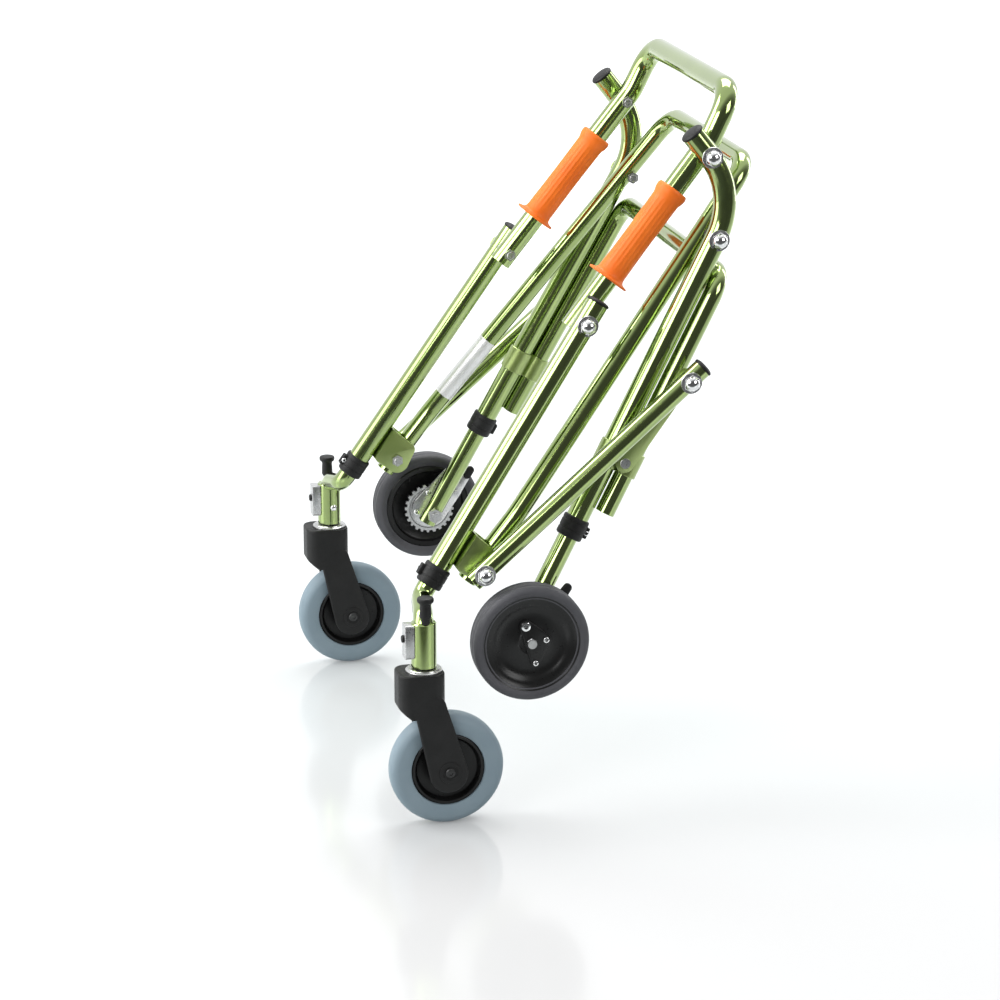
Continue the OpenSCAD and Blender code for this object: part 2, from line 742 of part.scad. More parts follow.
place(-1) front_leg();  // front_leg_left
place(1) front_leg();  // front_leg_right
both() front_bracket();  // front_brackets
both() front_collar();  // front_collars
both() rail_pivot_bolt();  // rail_pivot_bolts
both() low_pivot_bolt();  // low_pivot_bolts
both()  // front_leg_plugs
    color(black) end_plug(leg_top, leg_dir, tube_r, tube_wall);
translate([x_shift, 0, 0]) top_rail();
place(-1) grip();  // grip_left
place(1) grip();  // grip_right
both() leg_pivot_bolt();  // leg_pivot_bolts
place(-1) rear_leg();  // rear_leg_left
place(1) rear_leg();  // rear_leg_right
rear_loop();
both() link_bracket();  // link_brackets
both() rear_collar();  // rear_collars
both() loop_pivot_bolt();  // loop_pivot_bolts
both()  // rear_leg_plugs
    color(black) end_plug(rear_leg_points()[2], rear_top_dir, tube_r, tube_wall);
diagonal_loop();
both() loop_nut();  // diagonal_loop_nuts
place(1) label_sleeve();  // blank_label
place(-1) stretcher();  // stretcher_left
place(1) stretcher();  // stretcher_right
place(-1) elbow_bolt();  // elbow_bolt_left
place(1) elbow_bolt();  // elbow_bolt_right
place(-1) rear_link();  // rear_link_left
place(1) rear_link();  // rear_link_right
place(-1) front_extension();  // front_extension_left
place(1) front_extension();  // front_extension_right
place(-1) lock_clip();  // lock_clip_left
place(1) lock_clip();  // lock_clip_right
place(-1) lock_knob();  // lock_knob_left
place(1) lock_knob();  // lock_knob_right
place(-1) caster_stem();  // caster_stem_left
place(1) caster_stem();  // caster_stem_right
place(-1) caster_fork();  // caster_fork_left
place(1) caster_fork();  // caster_fork_right
place(-1) caster_axle();  // caster_axle_left
place(1) caster_axle();  // caster_axle_right
place(-1) caster_hub();  // caster_hub_left
place(1) caster_hub();  // caster_hub_right
place(-1) caster_tyre();  // caster_tyre_left
place(1) caster_tyre();  // caster_tyre_right
place(-1) rear_extension();  // rear_extension_left
place(1) rear_extension();  // rear_extension_right
place(-1) ratchet_plate();  // ratchet_plate_left
place(1) ratchet_plate();  // ratchet_plate_right
place(-1) ratchet_lever();  // ratchet_lever_left
place(1) ratchet_lever();  // ratchet_lever_right
place(-1) rear_axle();  // rear_axle_left
place(1) rear_axle();  // rear_axle_right
place(-1) rear_hub();  // rear_hub_left
place(1) rear_hub();  // rear_hub_right
place(-1) rear_tyre();  // rear_tyre_left
place(1) rear_tyre();  // rear_tyre_right
place(-1) ratchet_drum();  // ratchet_drum_left
place(1) ratchet_drum();  // ratchet_drum_right
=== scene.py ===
"""The looks of a folding walking frame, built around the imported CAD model.

Lengths are in millimetres in the part's own layout, where X = 0 is under the front casters' axles, and
`at` turns them into the model's frame. +Y is the user's right. A side is 1 for the right, -1 for the left.
"""

import json
import math

import bmesh
import bpy
from mathutils import Matrix, Vector


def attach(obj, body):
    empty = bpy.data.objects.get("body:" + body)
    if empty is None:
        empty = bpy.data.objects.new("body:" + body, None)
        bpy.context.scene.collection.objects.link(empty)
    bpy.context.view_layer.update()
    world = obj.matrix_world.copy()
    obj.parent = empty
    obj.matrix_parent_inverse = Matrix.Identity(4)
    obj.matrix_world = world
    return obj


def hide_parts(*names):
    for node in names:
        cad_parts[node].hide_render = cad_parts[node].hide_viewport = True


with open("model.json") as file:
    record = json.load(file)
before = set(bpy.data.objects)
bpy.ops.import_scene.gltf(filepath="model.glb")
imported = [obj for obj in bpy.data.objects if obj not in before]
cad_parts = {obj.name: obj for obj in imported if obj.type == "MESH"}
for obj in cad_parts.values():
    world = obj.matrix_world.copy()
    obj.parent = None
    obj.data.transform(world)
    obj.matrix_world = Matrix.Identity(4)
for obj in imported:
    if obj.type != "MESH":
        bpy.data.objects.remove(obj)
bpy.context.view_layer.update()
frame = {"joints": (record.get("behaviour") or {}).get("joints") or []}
JOINTS = {j["name"]: j for j in frame["joints"]}
SIDES = {"left": -1, "right": 1}
MM = 0.001

# ---------- the layout, as in the CAD ----------

SHIFT = JOINTS["caster_spin_left"]["pos_m"][0] / MM


def unit(v):
    return Vector(v).normalized()


def joint_xz(name):
    x, _, z = JOINTS[name]["pos_m"]
    return x / MM - SHIFT, z / MM


RAIL_PIVOT = joint_xz("fold")
LEG_PIVOT = joint_xz("rear_fold")
LOW_PIVOT = joint_xz("loop_fold")
ELBOW = joint_xz("link_fold_left")
LOOP_PIVOT = (323.0, 620.0)
TUBE_R, BRACE_R = 12.7, 11.0
TUBE_WALL, BRACE_WALL = 1.6, 1.5
INNER_R, INNER_WALL = 11.05, 2.0

LEG_FOOT = Vector((-2, 224, 267))
LEG_HEAD = Vector((RAIL_PIVOT[0], 196, RAIL_PIVOT[1]))
LEG_DIR = unit(LEG_HEAD - LEG_FOOT)
LEG_LEN = (LEG_HEAD - LEG_FOOT).length
LEG_OVER = 26.0
STEM_TOP, STEM_KNEE = 120.0, -26.0

RAIL_ANGLE = math.atan2(LEG_PIVOT[1] - RAIL_PIVOT[1], LEG_PIVOT[0] - RAIL_PIVOT[0])
RAIL_LEN = math.hypot(LEG_PIVOT[0] - RAIL_PIVOT[0], LEG_PIVOT[1] - RAIL_PIVOT[1])
RAIL_TAIL = (34.0, 64.0)
RAIL_Y, CORNER_Y = 167.0, 157.5
RAIL_DY = (CORNER_Y - RAIL_Y) / (RAIL_LEN + math.hypot(*RAIL_TAIL))
RAIL_REAR_Y = RAIL_Y + RAIL_DY * RAIL_LEN
RAIL_OVER = 14.0

REAR_ANGLE = math.radians(61.7)
ALONG = Vector((math.cos(REAR_ANGLE), 0, math.sin(REAR_ANGLE)))
BEHIND = Vector((math.sin(REAR_ANGLE), 0, -math.cos(REAR_ANGLE)))
CHORD = (LEG_PIVOT[0] - LOOP_PIVOT[0], LEG_PIVOT[1] - LOOP_PIVOT[1])
ARC_HALF = math.atan2(CHORD[1], CHORD[0]) - REAR_ANGLE
ARC_R = math.hypot(*CHORD) / (2 * math.sin(ARC_HALF))
ARC_T = ARC_R * math.tan(ARC_HALF)
REAR_Y, REAR_DY = 189.0, 0.076
COLLAR_S, AXLE_S, LINK_S = 352.0, 479.0, 262.0
REAR_INNER_TOP_S, REAR_LOOP_TOP_S, REAR_LOOP_END_S = 265.0, 33.0, 323.0
REAR_OVER, POCKET = 31.0, 10.0

LOOP_FOOT_Y, LOOP_KINK, FOOT_OVER = 222.0, 70.0, 20.0
LOOP_CORNER = Vector((371, 147.5, 693))
LOOP_ANGLE = math.atan2(LOOP_PIVOT[1] - LOW_PIVOT[1], LOOP_PIVOT[0] - LOW_PIVOT[0])
LOOP_LEN = math.hypot(LOOP_PIVOT[0] - LOW_PIVOT[0], LOOP_PIVOT[1] - LOW_PIVOT[1])

STRETCH_FRONT_Y, STRETCH_REAR_Y = 249.1, 245.1
STRETCH_FRONT_OVER, STRETCH_REAR_OVER = 15.0, 20.0
LINK_IN, LINK_T = 229.1, 4.0
RAIL_SPACER_Y, LEG_SPACER_Y, LOW_WASHER_Y, ELBOW_WASHER_Y = 179.9, 172.6, 236.6, 226.8
LABEL_START, LABEL_LEN = 28.0, 87.0
LABEL_R = BRACE_R + 0.3
SADDLE_LEN, LOOP_BEHIND = 28.0, 25.0
CASTER_Y, CASTER_R, CASTER_RIM, CASTER_W = 274.0, 63.5, 40.6, 28.0
SWIVEL_X, SLEEVE_LOW, SLEEVE_HIGH, SLEEVE_R = -24.0, 181.0, 232.0, 14.0
FORK_TOP = 177.0
WHEEL_Y, WHEEL_R, WHEEL_RIM, WHEEL_W = 267.0, 65.0, 50.0, 30.0


def at(x, y, z):
    return Vector(((x + SHIFT) * MM, y * MM, z * MM))


def on_leg(s):
    return LEG_FOOT + s * LEG_DIR


def on_rail(s):
    return Vector((
        RAIL_PIVOT[0] + s * math.cos(RAIL_ANGLE),
        RAIL_Y + RAIL_DY * s,
        RAIL_PIVOT[1] + s * math.sin(RAIL_ANGLE),
    ))


def on_rear(s, off=0.0):
    p = Vector((LOOP_PIVOT[0], 0, LOOP_PIVOT[1])) - s * ALONG + off * BEHIND
    p.y = REAR_Y + REAR_DY * (s + ARC_T)
    return p


def on_foot(s):
    return Vector((
        LOW_PIVOT[0] + s * math.cos(LOOP_ANGLE), LOOP_FOOT_Y, LOW_PIVOT[1] + s * math.sin(LOOP_ANGLE)
    ))


RAIL_DIR = unit(on_rail(100) - on_rail(0))
REAR_DIR = unit(on_rear(0) - on_rear(100))
LOOP_SIDE = unit(LOOP_CORNER - on_foot(LOOP_KINK))
LOOP_CROSS_Y = LOOP_FOOT_Y + LOOP_SIDE.y / math.hypot(LOOP_SIDE.x, LOOP_SIDE.z) * (LOOP_LEN - LOOP_KINK)
REAR_TOP_DIR = Vector((math.cos(REAR_ANGLE + 2 * ARC_HALF), 0, math.sin(REAR_ANGLE + 2 * ARC_HALF)))
LINK_PIN = on_rear(LINK_S, 15)
AXLE = on_rear(AXLE_S)


def polar(r, degrees):
    a = math.radians(degrees)
    return r * math.cos(a), r * math.sin(a)


def flip(p):
    return Vector((p.x, -p.y, p.z))


def side_of(p, side):
    return Vector((p.x, p.y * side, p.z))


# ---------- materials ----------


class Nodes:
    """A short way to write a node tree."""

    def __init__(self, name):
        self.mat = bpy.data.materials.new(name)
        self.mat.use_nodes = True
        self.tree = self.mat.node_tree
        self.tree.nodes.clear()
        self.out = self.add("ShaderNodeOutputMaterial")
        self.bsdf = self.add("ShaderNodeBsdfPrincipled")
        self.link(self.bsdf, "BSDF", self.out, "Surface")
        self.coord = self.add("ShaderNodeTexCoord")

    def add(self, kind, **values):
        n = self.tree.nodes.new(kind)
        for k, v in values.items():
            if hasattr(n, k):
                setattr(n, k, v)
            else:
                n.inputs[k.replace("_", " ")].default_value = v
        return n

    def link(self, a, out, b, into):
        self.tree.links.new(a.outputs[out], b.inputs[into])

    def noise(self, scale, detail):
        n = self.add("ShaderNodeTexNoise", Scale=scale, Detail=detail)
        self.link(self.coord, "Object", n, "Vector")
        return n

    def ramp(self, source, out, stops):
        r = self.add("ShaderNodeValToRGB")
        self.link(source, out, r, "Fac")
        e = r.color_ramp.elements
        while len(e) < len(stops):
            e.new(0.5)
        for el, (pos, col) in zip(e, stops):
            el.position = pos
            el.color = (*col, 1)
        return r

    def bump(self, source, out, strength, distance):
        b = self.add("ShaderNodeBump", Strength=strength, Distance=distance)
        self.link(source, out, b, "Height")
        self.link(b, "Normal", self.bsdf, "Normal")

    def set(self, **values):
        for k, v in values.items():
            self.bsdf.inputs[k.replace("_", " ")].default_value = v


def grey(v):
    return (v, v, v)


def two_tone(name, low, high, scale, rough, bump=None, **values):
    """A surface whose colour wanders between two tones and whose gloss wanders with it."""
    n = Nodes(name)
    broad = n.noise(scale, 4.0)
    n.link(n.ramp(broad, "Fac", [(0.3, low), (0.7, high)]), "Color", n.bsdf, "Base Color")
    fine = n.noise(scale * 9, 5.0)
    gloss = n.ramp(fine, "Fac", [(0.3, grey(rough[0])), (0.7, grey(rough[1]))])
    n.link(gloss, "Color", n.bsdf, "Roughness")
    if bump:
        grain = n.noise(bump[0], 3.0)
        n.bump(grain, "Fac", bump[1], bump[2])
    n.set(**values)
    return n.mat


def hexa(r, g, b):
    """A colour picked in sRGB, 0 to 255, as Blender's linear values."""
    def lin(c):
        c /= 255
        return c / 12.92 if c <= 0.04045 else ((c + 0.055) / 1.055) ** 2.4
    return (lin(r), lin(g), lin(b))


MATS = {
    "lime_tube": two_tone("lime_tube", hexa(132, 155, 70), hexa(146, 168, 84), 14, (0.10, 0.16),
                          Metallic=1.0, Coat_Weight=1.0, Coat_Roughness=0.04, Coat_IOR=1.95),
    "lime_plate": two_tone("lime_plate", hexa(144, 163, 90), hexa(158, 175, 104), 30, (0.32, 0.42),
                           (900, 0.05, 0.0004), Metallic=1.0,
                           Coat_Weight=0.7, Coat_Roughness=0.25, Coat_IOR=1.8),
    "black_plastic": two_tone("black_plastic", grey(0.007), grey(0.012), 40, (0.44, 0.58),
                              (1100, 0.1, 0.0003), Specular_IOR_Level=0.3),
    "orange_grip": two_tone("orange_grip", hexa(238, 108, 22), hexa(248, 124, 34), 24, (0.42, 0.56),
                            (1100, 0.15, 0.0004), Specular_IOR_Level=0.35),
    "chrome": two_tone("chrome", grey(0.74), grey(0.84), 60, (0.05, 0.12), Metallic=1.0),
    "silver": two_tone("silver", grey(0.5), grey(0.64), 50, (0.24, 0.38),
                       (700, 0.03, 0.0003), Metallic=1.0),
    "dark_steel": two_tone("dark_steel", grey(0.05), grey(0.09), 60, (0.25, 0.4), Metallic=1.0),
    "label": two_tone("label", grey(0.74), grey(0.84), 30, (0.28, 0.38), (400, 0.03, 0.0003), Metallic=0.4),
    "caster_tyre": two_tone("caster_tyre", hexa(116, 133, 143), hexa(128, 144, 153), 18, (0.46, 0.58),
                            (500, 0.1, 0.0004), Specular_IOR_Level=0.35),
    "rear_tyre": two_tone("rear_tyre", hexa(66, 66, 70), hexa(80, 80, 84), 20, (0.5, 0.66),
                          (600, 0.18, 0.0004), Specular_IOR_Level=0.35),
    "wheel_disc": two_tone("wheel_disc", grey(0.007), grey(0.011), 26, (0.27, 0.31),
                           Specular_IOR_Level=0.3),
    "black_hub": two_tone("black_hub", grey(0.004), grey(0.007), 26, (0.27, 0.31), Specular_IOR_Level=0.3),
}

# ---------- mesh building ----------


def sharpen(mesh, degrees=38):
    mesh.shade_smooth()
    mesh.set_sharp_from_angle(angle=math.radians(degrees))


def basis(direction, hint=None):
    """Three unit vectors, the third along direction and the first towards hint where one is given."""
    z = unit(direction)
    ref = Vector(hint or ((0, 0, 1) if abs(z.z) < 0.9 else (1, 0, 0)))
    x = (ref - ref.dot(z) * z).normalized()
    return x, z.cross(x), z


def rounded(points, bends, step=math.radians(5)):
    """A line of points with an arc of the given radius at each inner one."""
    out = [Vector(points[0])]
    for i in range(1, len(points) - 1):
        p = Vector(points[i])
        u, w = unit(p - Vector(points[i - 1])), unit(Vector(points[i + 1]) - p)
        turn = u.angle(w)
        r = bends[i - 1]
        t = r * math.tan(turn / 2)
        m = unit(w - w.dot(u) * u)
        centre = p - t * u + r * m
        n = max(3, math.ceil(turn / step))
        for k in range(n + 1):
            a = turn * k / n
            out.append(centre - r * math.cos(a) * m + r * math.sin(a) * u)
    out.append(Vector(points[-1]))
    return out


def tube_frames(line):
    """A frame at each point of a line, turned as little as possible from one to the next."""
    n = len(line)
    tangents = []
    for i in range(n):
        a = unit(line[i] - line[i - 1]) if i else unit(line[1] - line[0])
        b = unit(line[i + 1] - line[i]) if i < n - 1 else a
        tangents.append(unit(a + b))
    x, y, _ = basis(tangents[0])
    frames = []
    for i, t in enumerate(tangents):
        if i:
            q = tangents[i - 1].rotation_difference(t)
            x = q @ x
            x = unit(x - x.dot(t) * t)
        frames.append((line[i], x, t.cross(x), t))
    return frames


class Piece:
    """Collects the geometry that stands for some CAD nodes, and makes one object of it."""

    def __init__(self, name, body, nodes, mats, slot=None):
        self.name, self.body, self.nodes = name, body, nodes
        self.mats = mats
        self.slot = slot or mats[0]
        self.bm = bmesh.new()
        self.mat = 0

    def use(self, mat):
        if mat not in self.mats:
            self.mats.append(mat)
        self.mat = self.mats.index(mat)

    def ring(self, co):
        return [self.bm.verts.new(at(*c)) for c in co]

    def face(self, verts):
        if len(set(verts)) < 3:
            return
        f = self.bm.faces.new(verts)
        f.material_index = self.mat

    def strip(self, rings, closed=False):
        pairs = list(zip(rings, rings[1:]))
        if closed:
            pairs.append((rings[-1], rings[0]))
        for a, b in pairs:
            if len(a) == 1 and len(b) == 1:
                continue
            n = max(len(a), len(b))
            for k in range(n):
                j = (k + 1) % n
                if len(a) == 1:
                    self.face([a[0], b[j], b[k]])
                elif len(b) == 1:
                    self.face([a[k], a[j], b[0]])
                else:
                    self.face([a[k], a[j], b[j], b[k]])

    def tube(self, points, bends, r, wall, n=40):
        """A bent tube with rolled ends."""
        line = rounded(points, bends)
        frames = tube_frames(line)
        lip = min(0.5, wall / 3)

        def circle(i, radius, slide=0.0):
            o, x, y, t = frames[i]
            return self.ring([
                o + slide * t + radius * (math.cos(a) * x + math.sin(a) * y)
                for a in (2 * math.pi * k / n for k in range(n))
            ])
        last = len(frames) - 1
        outer = [circle(0, r - lip), circle(0, r, lip)]
        outer += [circle(i, r) for i in range(1, last)]
        outer += [circle(last, r, -lip), circle(last, r - lip)]
        inner = [circle(last, r - wall + lip), circle(last, r - wall, -lip)]
        inner += [circle(i, r - wall) for i in range(last - 1, 0, -1)]
        inner += [circle(0, r - wall, lip), circle(0, r - wall + lip)]
        self.strip(outer + inner, closed=True)

    def lathe(self, origin, direction, profile, n=64, closed=True, mod=None):
        """Turns (radius, height) points about an axis. A closed profile starts and ends off the axis."""
        x, y, z = basis(direction)
        o = Vector(origin)
        rings = []
        for r, h in profile:
            if r < 1e-6:
                rings.append(self.ring([o + h * z]))
                continue
            co = []
            for k in range(n):
                a = 2 * math.pi * k / n
                q = r + (mod(a, h, r) if mod else 0.0)
                co.append(o + h * z + q * (math.cos(a) * x + math.sin(a) * y))
            rings.append(self.ring(co))
        self.strip(rings, closed=closed and profile[0][0] > 1e-6)

    def prism(self, origin, direction, sides, r, h, chamfer=0.6):
        """A chamfered nut or bolt head."""
        x, y, z = basis(direction)
        o = Vector(origin)

        def poly(radius, height):
            return self.ring([
                o + height * z + radius * (math.cos(a) * x + math.sin(a) * y)
                for a in (2 * math.pi * k / sides for k in range(sides))
            ])
        rings = [poly(r, 0), poly(r, h - chamfer), poly(r - chamfer, h)]
        self.face(list(reversed(rings[0])))
        self.strip(rings)
        self.face(rings[-1])

    def plate(self, outline, y0, y1, edge=0.6, steps=2):
        """A flat plate across Y with rounded edges.

        The outline is (x, z) points, counter-clockwise seen from -Y.
        """
        n = len(outline)
        pts = [Vector((p[0], p[1])) for p in outline]
        inward = []
        for i in range(n):
            d0 = (pts[i] - pts[i - 1]).normalized()
            d1 = (pts[(i + 1) % n] - pts[i]).normalized()
            m = (Vector((-d0.y, d0.x)) + Vector((-d1.y, d1.x)))
            k = m.dot(Vector((-d0.y, d0.x)))
            inward.append(m / max(k, 0.35))
        lo, hi = min(y0, y1), max(y0, y1)
        edge = min(edge, (hi - lo) * 0.45)
        rings = []
        for k in range(steps + 1):
            a = math.pi / 2 * k / steps
            rings.append((edge * (1 - math.sin(a)), lo + edge * (1 - math.cos(a))))
        rings += [(e, lo + hi - y) for e, y in reversed(rings)]
        loops = [
            self.ring([(pts[i].x + inward[i].x * e, y, pts[i].y + inward[i].y * e) for i in range(n)])
            for e, y in rings
        ]
        self.strip(loops)
        self.face(list(reversed(loops[0])))
        self.face(loops[-1])

    def fuse(self, voxel=0.0008, passes=8, keep=0.22):
        """Turns what the piece holds so far into one smooth moulded skin."""
        bmesh.ops.recalc_face_normals(self.bm, faces=self.bm.faces)
        rough = bpy.data.meshes.new("rough")
        self.bm.to_mesh(rough)
        o = bpy.data.objects.new("rough", rough)
        bpy.context.scene.collection.objects.link(o)
        o.modifiers.new("skin", "REMESH").voxel_size = voxel
        smooth = o.modifiers.new("smooth", "SMOOTH")
        smooth.factor, smooth.iterations = 0.5, passes
        o.modifiers.new("thin", "DECIMATE").ratio = keep
        skin = bpy.data.meshes.new_from_object(o.evaluated_get(bpy.context.evaluated_depsgraph_get()))
        self.bm.clear()
        self.bm.from_mesh(skin)
        bpy.data.objects.remove(o)
        for mesh in (rough, skin):
            bpy.data.meshes.remove(mesh)

    def make(self, sharp=38):
        mesh = bpy.data.meshes.new(self.name)
        bmesh.ops.recalc_face_normals(self.bm, faces=self.bm.faces)
        self.bm.to_mesh(mesh)
        self.bm.free()
        for m in self.mats:
            mesh.materials.append(MATS[m])
        sharpen(mesh, sharp)
        o = bpy.data.objects.new(self.name, mesh)
        bpy.context.scene.collection.objects.link(o)
        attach(o, self.body)
        if self.nodes:
            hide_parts(*self.nodes)


def hull(circles):
    """The outline round several (x, z, r) circles, counter-clockwise."""
    n = 72
    pts = []
    for x, z, r in circles:
        for k in range(n):
            dx, dz = polar(r, 360 * k / n)
            pts.append((x + dx, z + dz))
    pts = sorted(set((round(a, 4), round(b, 4)) for a, b in pts))

    def turns_right(a, b, c):
        return (b[0] - a[0]) * (c[1] - a[1]) - (b[1] - a[1]) * (c[0] - a[0]) <= 0

    def half(seq):
        out = []
        for p in seq:
            while len(out) > 1 and turns_right(out[-2], out[-1], p):
                out.pop()
            out.append(p)
        return out[:-1]
    return half(pts) + half(pts[::-1])


def screw_head(piece, point, direction, r, h):
    """A small round head with a hexagon socket."""
    piece.use("chrome")
    piece.lathe(point, direction, [
        (r * 0.48, h - 2.2), (r * 0.48, h), (r * 0.72, h), (r * 0.92, h * 0.8), (r, h * 0.45), (r, 0),
        (r * 0.48, 0),
    ], n=40)
    piece.use("silver")
    piece.lathe(point, direction, [(0, h - 2.2), (r * 0.5, h - 2.2)], n=6, closed=False)


DOME_R, NUT_R = 10.0, 7.0


def dome_nut(piece, x, z, y, side):
    """A domed nut on a washer, its washer's face at y."""
    o, d, r = (x, y * side, z), (0, side, 0), DOME_R
    piece.use("silver")
    piece.lathe(o, d, [(0, 0), (r + 1.6, 0), (r + 1.9, 0.4), (r + 1.6, 1.0), (0, 1.0)], n=48, closed=False)
    piece.use("chrome")
    piece.prism((x, (y + 1.0) * side, z), d, 6, r * 0.98, 3.2, 0.7)
    base, height = 3.8, r * 0.62
    dome = [(r * 0.8, base - 0.2)]
    for a in range(5, 90, 10):
        across, along = polar(1.0, a)
        dome.append((r * 0.8 * across, base + height * along))
    piece.lathe(o, d, [(0, 3.0)] + dome + [(0, base + height)], n=48, closed=False)


def lock_nut(piece, x, z, y, side):
    """A thin nut on the inner end of a pivot bolt, its outer face at y."""
    thick = 4.0
    o = (x, (y - thick) * side, z)
    piece.use("silver")
    piece.prism(o, (0, side, 0), 6, NUT_R, thick)
    piece.prism(o, (0, -side, 0), 24, NUT_R * 0.62, 1.4, 0.5)


def plug(piece, end, direction, r, wall):
    """A black end cap with a low crown."""
    piece.use("black_plastic")
    piece.lathe(end, direction, [
        (0, -9), (r - wall - 0.1, -9), (r - wall - 0.1, 0.02), (r + 0.35, 0.02), (r + 0.55, 0.6),
        (r + 0.45, 2.0), (r - 0.8, 3.3), (r * 0.6, 4.3), (0, 4.6),
    ], n=48, closed=False)


# ---------- front frame ----------

for name, side in SIDES.items():
    p = Piece(f"front_leg_tube_{name}", "front_frame", [f"front_leg_{name}"], ["lime_tube"])
    low_end, high_end = side_of(on_leg(-POCKET), side), side_of(on_leg(LEG_LEN + LEG_OVER), side)
    p.tube([low_end, high_end], [], TUBE_R, TUBE_WALL)
    p.make()

p = Piece("front_leg_caps", "front_frame", ["front_leg_plugs"], ["black_plastic"])
for side in SIDES.values():
    plug(p, side_of(on_leg(LEG_LEN + LEG_OVER), side), side_of(LEG_DIR, side), TUBE_R, TUBE_WALL)
p.make()


def rounded_block(piece, centre, axes, size, edge):
    """A box with rounded edges, on three given axes."""
    x, y, z = axes
    m = Matrix((
        (x.x, y.x, z.x, 0), (x.y, y.y, z.y, 0), (x.z, y.z, z.z, 0), (0, 0, 0, 1)
    ))
    tmp = bmesh.new()
    bmesh.ops.create_cube(tmp, size=1.0)
    bmesh.ops.scale(tmp, vec=size, verts=tmp.verts)
    bmesh.ops.bevel(tmp, geom=list(tmp.edges), offset=edge, segments=3, profile=0.5, affect="EDGES")
    table = {}
    for v in tmp.verts:
        table[v.index] = piece.bm.verts.new(at(*(Vector(centre) + m @ v.co)))
    tmp.faces.ensure_lookup_table()
    for f in tmp.faces:
        piece.face([table[v.index] for v in f.verts])
    tmp.free()


def clamp_collar(piece, centre, direction, side, ear):
    """A moulded clamp collar: two grooves round it, a split ear and the screw through the ear."""
    o, d = side_of(centre, side), side_of(direction, side)
    piece.use("black_plastic")
    piece.lathe(o, d, [
        (11.15, -12), (13.4, -12), (14.5, -11.3), (15.0, -10.2), (15.0, -4.4), (14.5, -3.9), (14.5, -2.7),
        (15.0, -2.2), (15.0, 5.4), (14.6, 5.8), (14.6, 6.8), (15.0, 7.2), (15.0, 10.4), (14.5, 11.4),
        (13.6, 12), (12.75, 12), (12.75, -10.1), (11.15, -10.1),
    ], n=64)
    x, y, z = basis(d, (ear, 0, 0))
    c = o + x * 15.4
    for k in (-1, 1):
        rounded_block(piece, c + y * (2.5 * k), (x, y, z), (6.4, 3.8, 13.0), 1.2)
    screw_head(piece, c + y * (4.4 * side) + x * 0.4, y * side, 2.9, 1.8)


p = Piece("front_clamp_collars", "front_frame", ["front_collars"], ["black_plastic"])
for side in SIDES.values():
    clamp_collar(p, LEG_FOOT, LEG_DIR, side, -1)
p.make()

# The low bracket is one folded sheet: a web along the leg, and a cheek each side of the loop's foot
slope = math.atan2(RAIL_PIVOT[1] - LEG_FOOT.z, RAIL_PIVOT[0] - LEG_FOOT.x)
up, back = Vector((math.cos(slope), math.sin(slope))), Vector((math.sin(slope), -math.cos(slope)))
to_pivot = Vector((LOW_PIVOT[0] - LEG_FOOT.x, LOW_PIVOT[1] - LEG_FOOT.z))
pivot_up, pivot_back = to_pivot.dot(up), to_pivot.dot(back)
CHEEK_GAP, CHEEK_T = 11.5, 3.0


def on_bracket(a, b):
    q = Vector((LEG_FOOT.x, LEG_FOOT.z)) + up * a + back * b
    return (q.x, q.y)


p = Piece("low_brackets", "front_frame", ["front_brackets"], ["lime_plate"])
web = TUBE_R + 0.2
web_low, web_high, web_t = pivot_up - 12, pivot_up + 30, 2.5
lobes = [(-1 + 14.5 * a, 2 + 14 * b) for a, b in (polar(1, t) for t in range(200, 90, -15))]
lobes += [(18 + a, 5.5 + b) for a, b in (polar(8, t) for t in range(90, 0, -18))]
outline = [on_bracket(a, b) for a, b in (
    [(web_low, web), (web_low - 2, web + 5)]
    + [(pivot_up + a, pivot_back + b) for a, b in lobes]
    + [(web_high - 0.5, web + 6), (web_high, web)]
)]
for side in SIDES.values():
    for y in (LOOP_FOOT_Y - CHEEK_GAP - CHEEK_T, LOOP_FOOT_Y + CHEEK_GAP):
        p.plate(outline, y * side, (y + CHEEK_T) * side, edge=0.9)
    ends = [on_bracket(web_low, web), on_bracket(web_low, web + web_t),
            on_bracket(web_high, web + web_t), on_bracket(web_high, web)]
    half_web = CHEEK_GAP + 0.2
    p.plate(ends, (LOOP_FOOT_Y - half_web) * side, (LOOP_FOOT_Y + half_web) * side, edge=0.3)
p.make()

p = Piece("rail_pivot_nuts", "front_frame", ["rail_pivot_bolts"], ["chrome"])
for side in SIDES.values():
    dome_nut(p, *RAIL_PIVOT, LEG_HEAD.y + TUBE_R - 0.4, side)
    lock_nut(p, *RAIL_PIVOT, RAIL_Y - TUBE_R, side)
    p.use("silver")
    o = (RAIL_PIVOT[0], RAIL_SPACER_Y * side, RAIL_PIVOT[1])
    p.lathe(o, (0, side, 0), [(4, 0), (9, 0), (9.3, 0.6), (9.3, 2.6), (9, 3.2), (4, 3.2)], n=40)
p.make()

p = Piece("low_pivot_nuts", "front_frame", ["low_pivot_bolts"], ["chrome"])
for side in SIDES.values():
    dome_nut(p, *LOW_PIVOT, STRETCH_FRONT_Y + BRACE_R - 0.4, side)
    lock_nut(p, *LOW_PIVOT, LOOP_FOOT_Y - CHEEK_GAP - CHEEK_T, side)
    p.use("silver")
    o = (LOW_PIVOT[0], LOW_WASHER_Y * side, LOW_PIVOT[1])
    p.lathe(o, (0, side, 0), [(4, 0), (8, 0), (8, 1.4), (4, 1.4)], n=40)
p.make()

# ---------- top rail ----------

